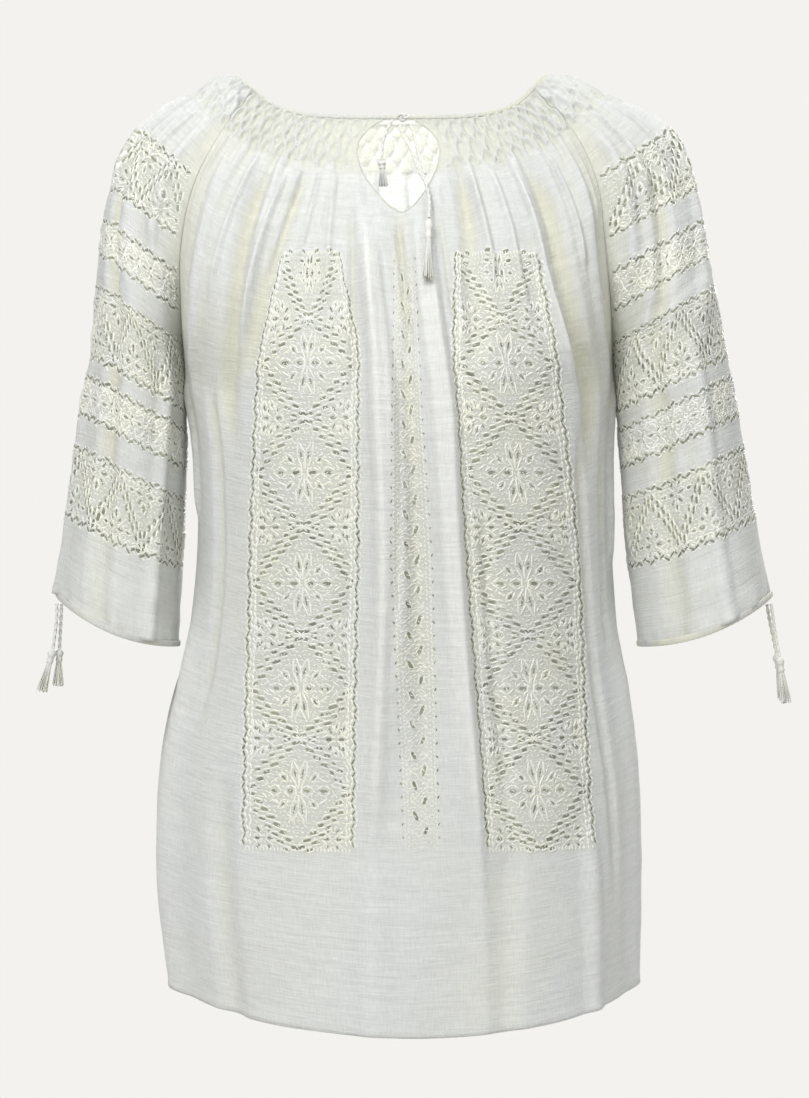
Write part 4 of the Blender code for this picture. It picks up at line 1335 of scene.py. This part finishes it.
def thread_rings(path, radius):
    """Five-sided rings along a thread, tapering to its tip."""
    firsts, seconds = carried_frame(path)
    turns = around(5)[None, :, None]
    taper = np.linspace(1.0, 0.7, len(path))[:, None, None] * radius
    return path[:, None] + (np.cos(turns) * firsts[:, None] + np.sin(turns) * seconds[:, None]) * taper


def joined_tubes(name, tubes, finish):
    """Capped tubes of like size as one mesh."""
    rows, sides = tubes[0].shape[:2]
    faces = ring_faces(rows, sides)
    every = [[k + i * rows * sides for k in face] for i in range(len(tubes)) for face in faces]
    return add_mesh(name, np.concatenate(tubes), every, finish)


def tie_end(label, points, foot, finish, seed):
    """One end of a drawstring, with the tassel on it."""
    route = smooth_route(points, 0.55 * MM)
    name = label.format("cord")
    cord = twisted_tube(name + "_plied", route, CORD_DIAMETER / 2, finish)
    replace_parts(cord, name)
    on_it = []
    if foot is not None:
        top = np.array(points[-1]) - [0, 0, TASSEL_DROP]
        on_it = list(tassel(label.format("tassel"), top, foot, finish, seed))


def ties(finish):
    for i, (name, tie) in enumerate(NECK_TIES.items()):
        tie_end("neck_{}_" + name, tie.cord, tie.tassel_foot, finish, 70 + i)
    for i, (name, tie) in enumerate(CUFF_TIES.items()):
        side = SIDES[name.split("_")[0]]
        start = sleeve_point(np.array(CUFF), np.array(CUFF_TIE_ACROSS), side) / MM
        points = [start + np.array(p) * [side, 1, 1] for p in tie.cord]
        tie_end("cuff_{}_" + name, points, start + np.array(tie.tassel_foot) * [side, 1, 1], finish, 80 + i)


def neck_knot(finish):
    """An overhand knot of the two drawstring ends."""
    t = around(120)
    x, y, z = np.sin(t) + 2 * np.sin(2 * t), -0.75 * np.sin(3 * t), np.cos(t) - 2 * np.cos(2 * t)
    route = KNOT_CENTRE + np.stack([x, y, z], axis=1) * KNOT_SIZE
    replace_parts(twisted_tube("neck_knot_tied", route, 1.15 * MM, finish, closed=True), "neck_knot")


def slit_edge(rims, finish):
    """The slit's rolled edge, one roll down each side, meeting at the slit's foot."""
    route = evenly(np.concatenate([rims[0], rims[1][::-1][1:]]), 300)
    for k in range(3):
        route[2:-2, k] = np.convolve(route[:, k], np.ones(5) / 5, "valid")
    twisted_tube("slit_edge", route, 0.55 * MM, finish, lobes=1, pitch=3.1 * MM)


# ---- stage ----

LENS = 136.6
CAMERA = (0, -3.0, -0.340)


def make_camera():
    data = bpy.data.cameras.new("camera")
    data.lens = LENS
    data.sensor_width = 36
    data.clip_start, data.clip_end = 0.05, 60
    camera = bpy.data.objects.new("camera", data)
    camera.location = CAMERA
    camera.rotation_euler = (math.radians(90), 0, 0)
    bpy.context.scene.collection.objects.link(camera)
    bpy.context.scene.camera = camera


def floor_material():
    found, tree, shader = nodes_of("floor_pale")
    looks = {"Base Color": FLOOR, "Roughness": 0.9, "Emission Color": FLOOR, "Emission Strength": 0.0}
    feed(tree, shader, looks)
    return found


def make_stage():
    """A pale floor far below, and a pale backdrop all round that gives no light of its own to the cloth."""
    bpy.ops.mesh.primitive_circle_add(vertices=96, radius=3.0, fill_type="NGON", location=(0, 0, -1.5))
    floor = bpy.context.object
    floor.name = "floor"
    floor.data.materials.append(floor_material())
    bpy.ops.mesh.primitive_uv_sphere_add(segments=48, ring_count=24, radius=20)
    backdrop = bpy.context.object
    backdrop.name = "backdrop"
    backdrop.data.materials.append(backdrop_material())
    for kind in ("diffuse", "glossy", "transmission", "shadow", "volume_scatter"):
        setattr(backdrop, "visible_" + kind, False)


def backdrop_material():
    found, tree, shader = nodes_of("backdrop_pale")
    tree.nodes.remove(shader)
    glow = add_node(tree, "ShaderNodeEmission", {"Color": BACKDROP, "Strength": 1.0})
    feed(tree, tree.nodes["Material Output"], {"Surface": glow.outputs[0]})
    return found


Lamp = namedtuple("Lamp", "name place aim size power")
LAMPS = [
    Lamp("key", (-0.9, -2.1, 1.5), (0, 0, -0.05), 1.0, 65),
    Lamp("fill", (1.5, -1.8, 1.3), (0, 0, 0.0), 1.2, 12),
    Lamp("top", (0.3, -0.4, 1.8), (0, 0, -0.1), 1.4, 13),
    Lamp("behind", (0.9, 2.2, 0.8), (0, 0, -0.2), 1.5, 76),
    Lamp("inside", (0, -0.02, -0.065), (0, 0.1, -0.055), 0.10, 0.10),
]


def area_light(lamp):
    data = bpy.data.lights.new(lamp.name, "AREA")
    data.size = lamp.size
    data.energy = lamp.power
    obj = bpy.data.objects.new(lamp.name, data)
    obj.location = lamp.place
    obj.rotation_euler = Vector(np.subtract(lamp.aim, lamp.place)).to_track_quat("-Z", "Y").to_euler()
    bpy.context.scene.collection.objects.link(obj)


def make_light():
    """Soft daylight from the front and above, and light from behind that shows through the cloth."""
    world = bpy.data.worlds.new("studio")
    world.use_nodes = True
    sky = {"Color": (0.985, 0.992, 1.0), "Strength": 0.46}
    feed(world.node_tree, world.node_tree.nodes["Background"], sky)
    bpy.context.scene.world = world
    for lamp in LAMPS:
        area_light(lamp)
    bpy.context.scene.view_settings.view_transform = "Standard"


# ---- build ----

def declare_panels(panels):
    front, back, right, left = panels


def main():
    make_camera()
    cloth = Finish(gauze(), "gauze")
    strip = Finish(spun("binding_cotton", STRIP, 0.85, (700, 700, 700), coat=0.0, share=0.45), "strip")
    cord = Finish(spun("cord_cotton", CORD, 0.75, (500, 500, 900), coat=0.0, share=0.0), "cord")
    thread = Finish(spun("raised_thread", THREAD, 0.42, (1500, 1500, 500), coat=0.25, share=0.12), "cord")
    shade = Finish(eyelet_shade(), "gauze")
    ties(cord)
    neck_knot(cord)
    front, front_grid, rims = front_panel(cloth)
    back, back_grid = back_panel(cloth)
    panels, grids = [front, back], {"front_panel": front_grid, "back_panel": back_grid}
    for name, side in SIDES.items():
        panel, grids["sleeve_" + name] = sleeve_panel("sleeve_" + name, side, cloth)
        panels.append(panel)
    neck_binding(strip)
    for name, side in SIDES.items():
        cuff_casing("cuff_casing_" + name, side, strip)
    slit_edge(rims, Finish(strip.material, "cord"))
    embroider_front(front_grid, thread, shade)
    for name, side in SIDES.items():
        embroider_sleeve(name, side, grids["sleeve_" + name], thread, shade)
    small_stitches(grids, cord)
    declare_panels(panels)
    make_stage()
    make_light()


main()
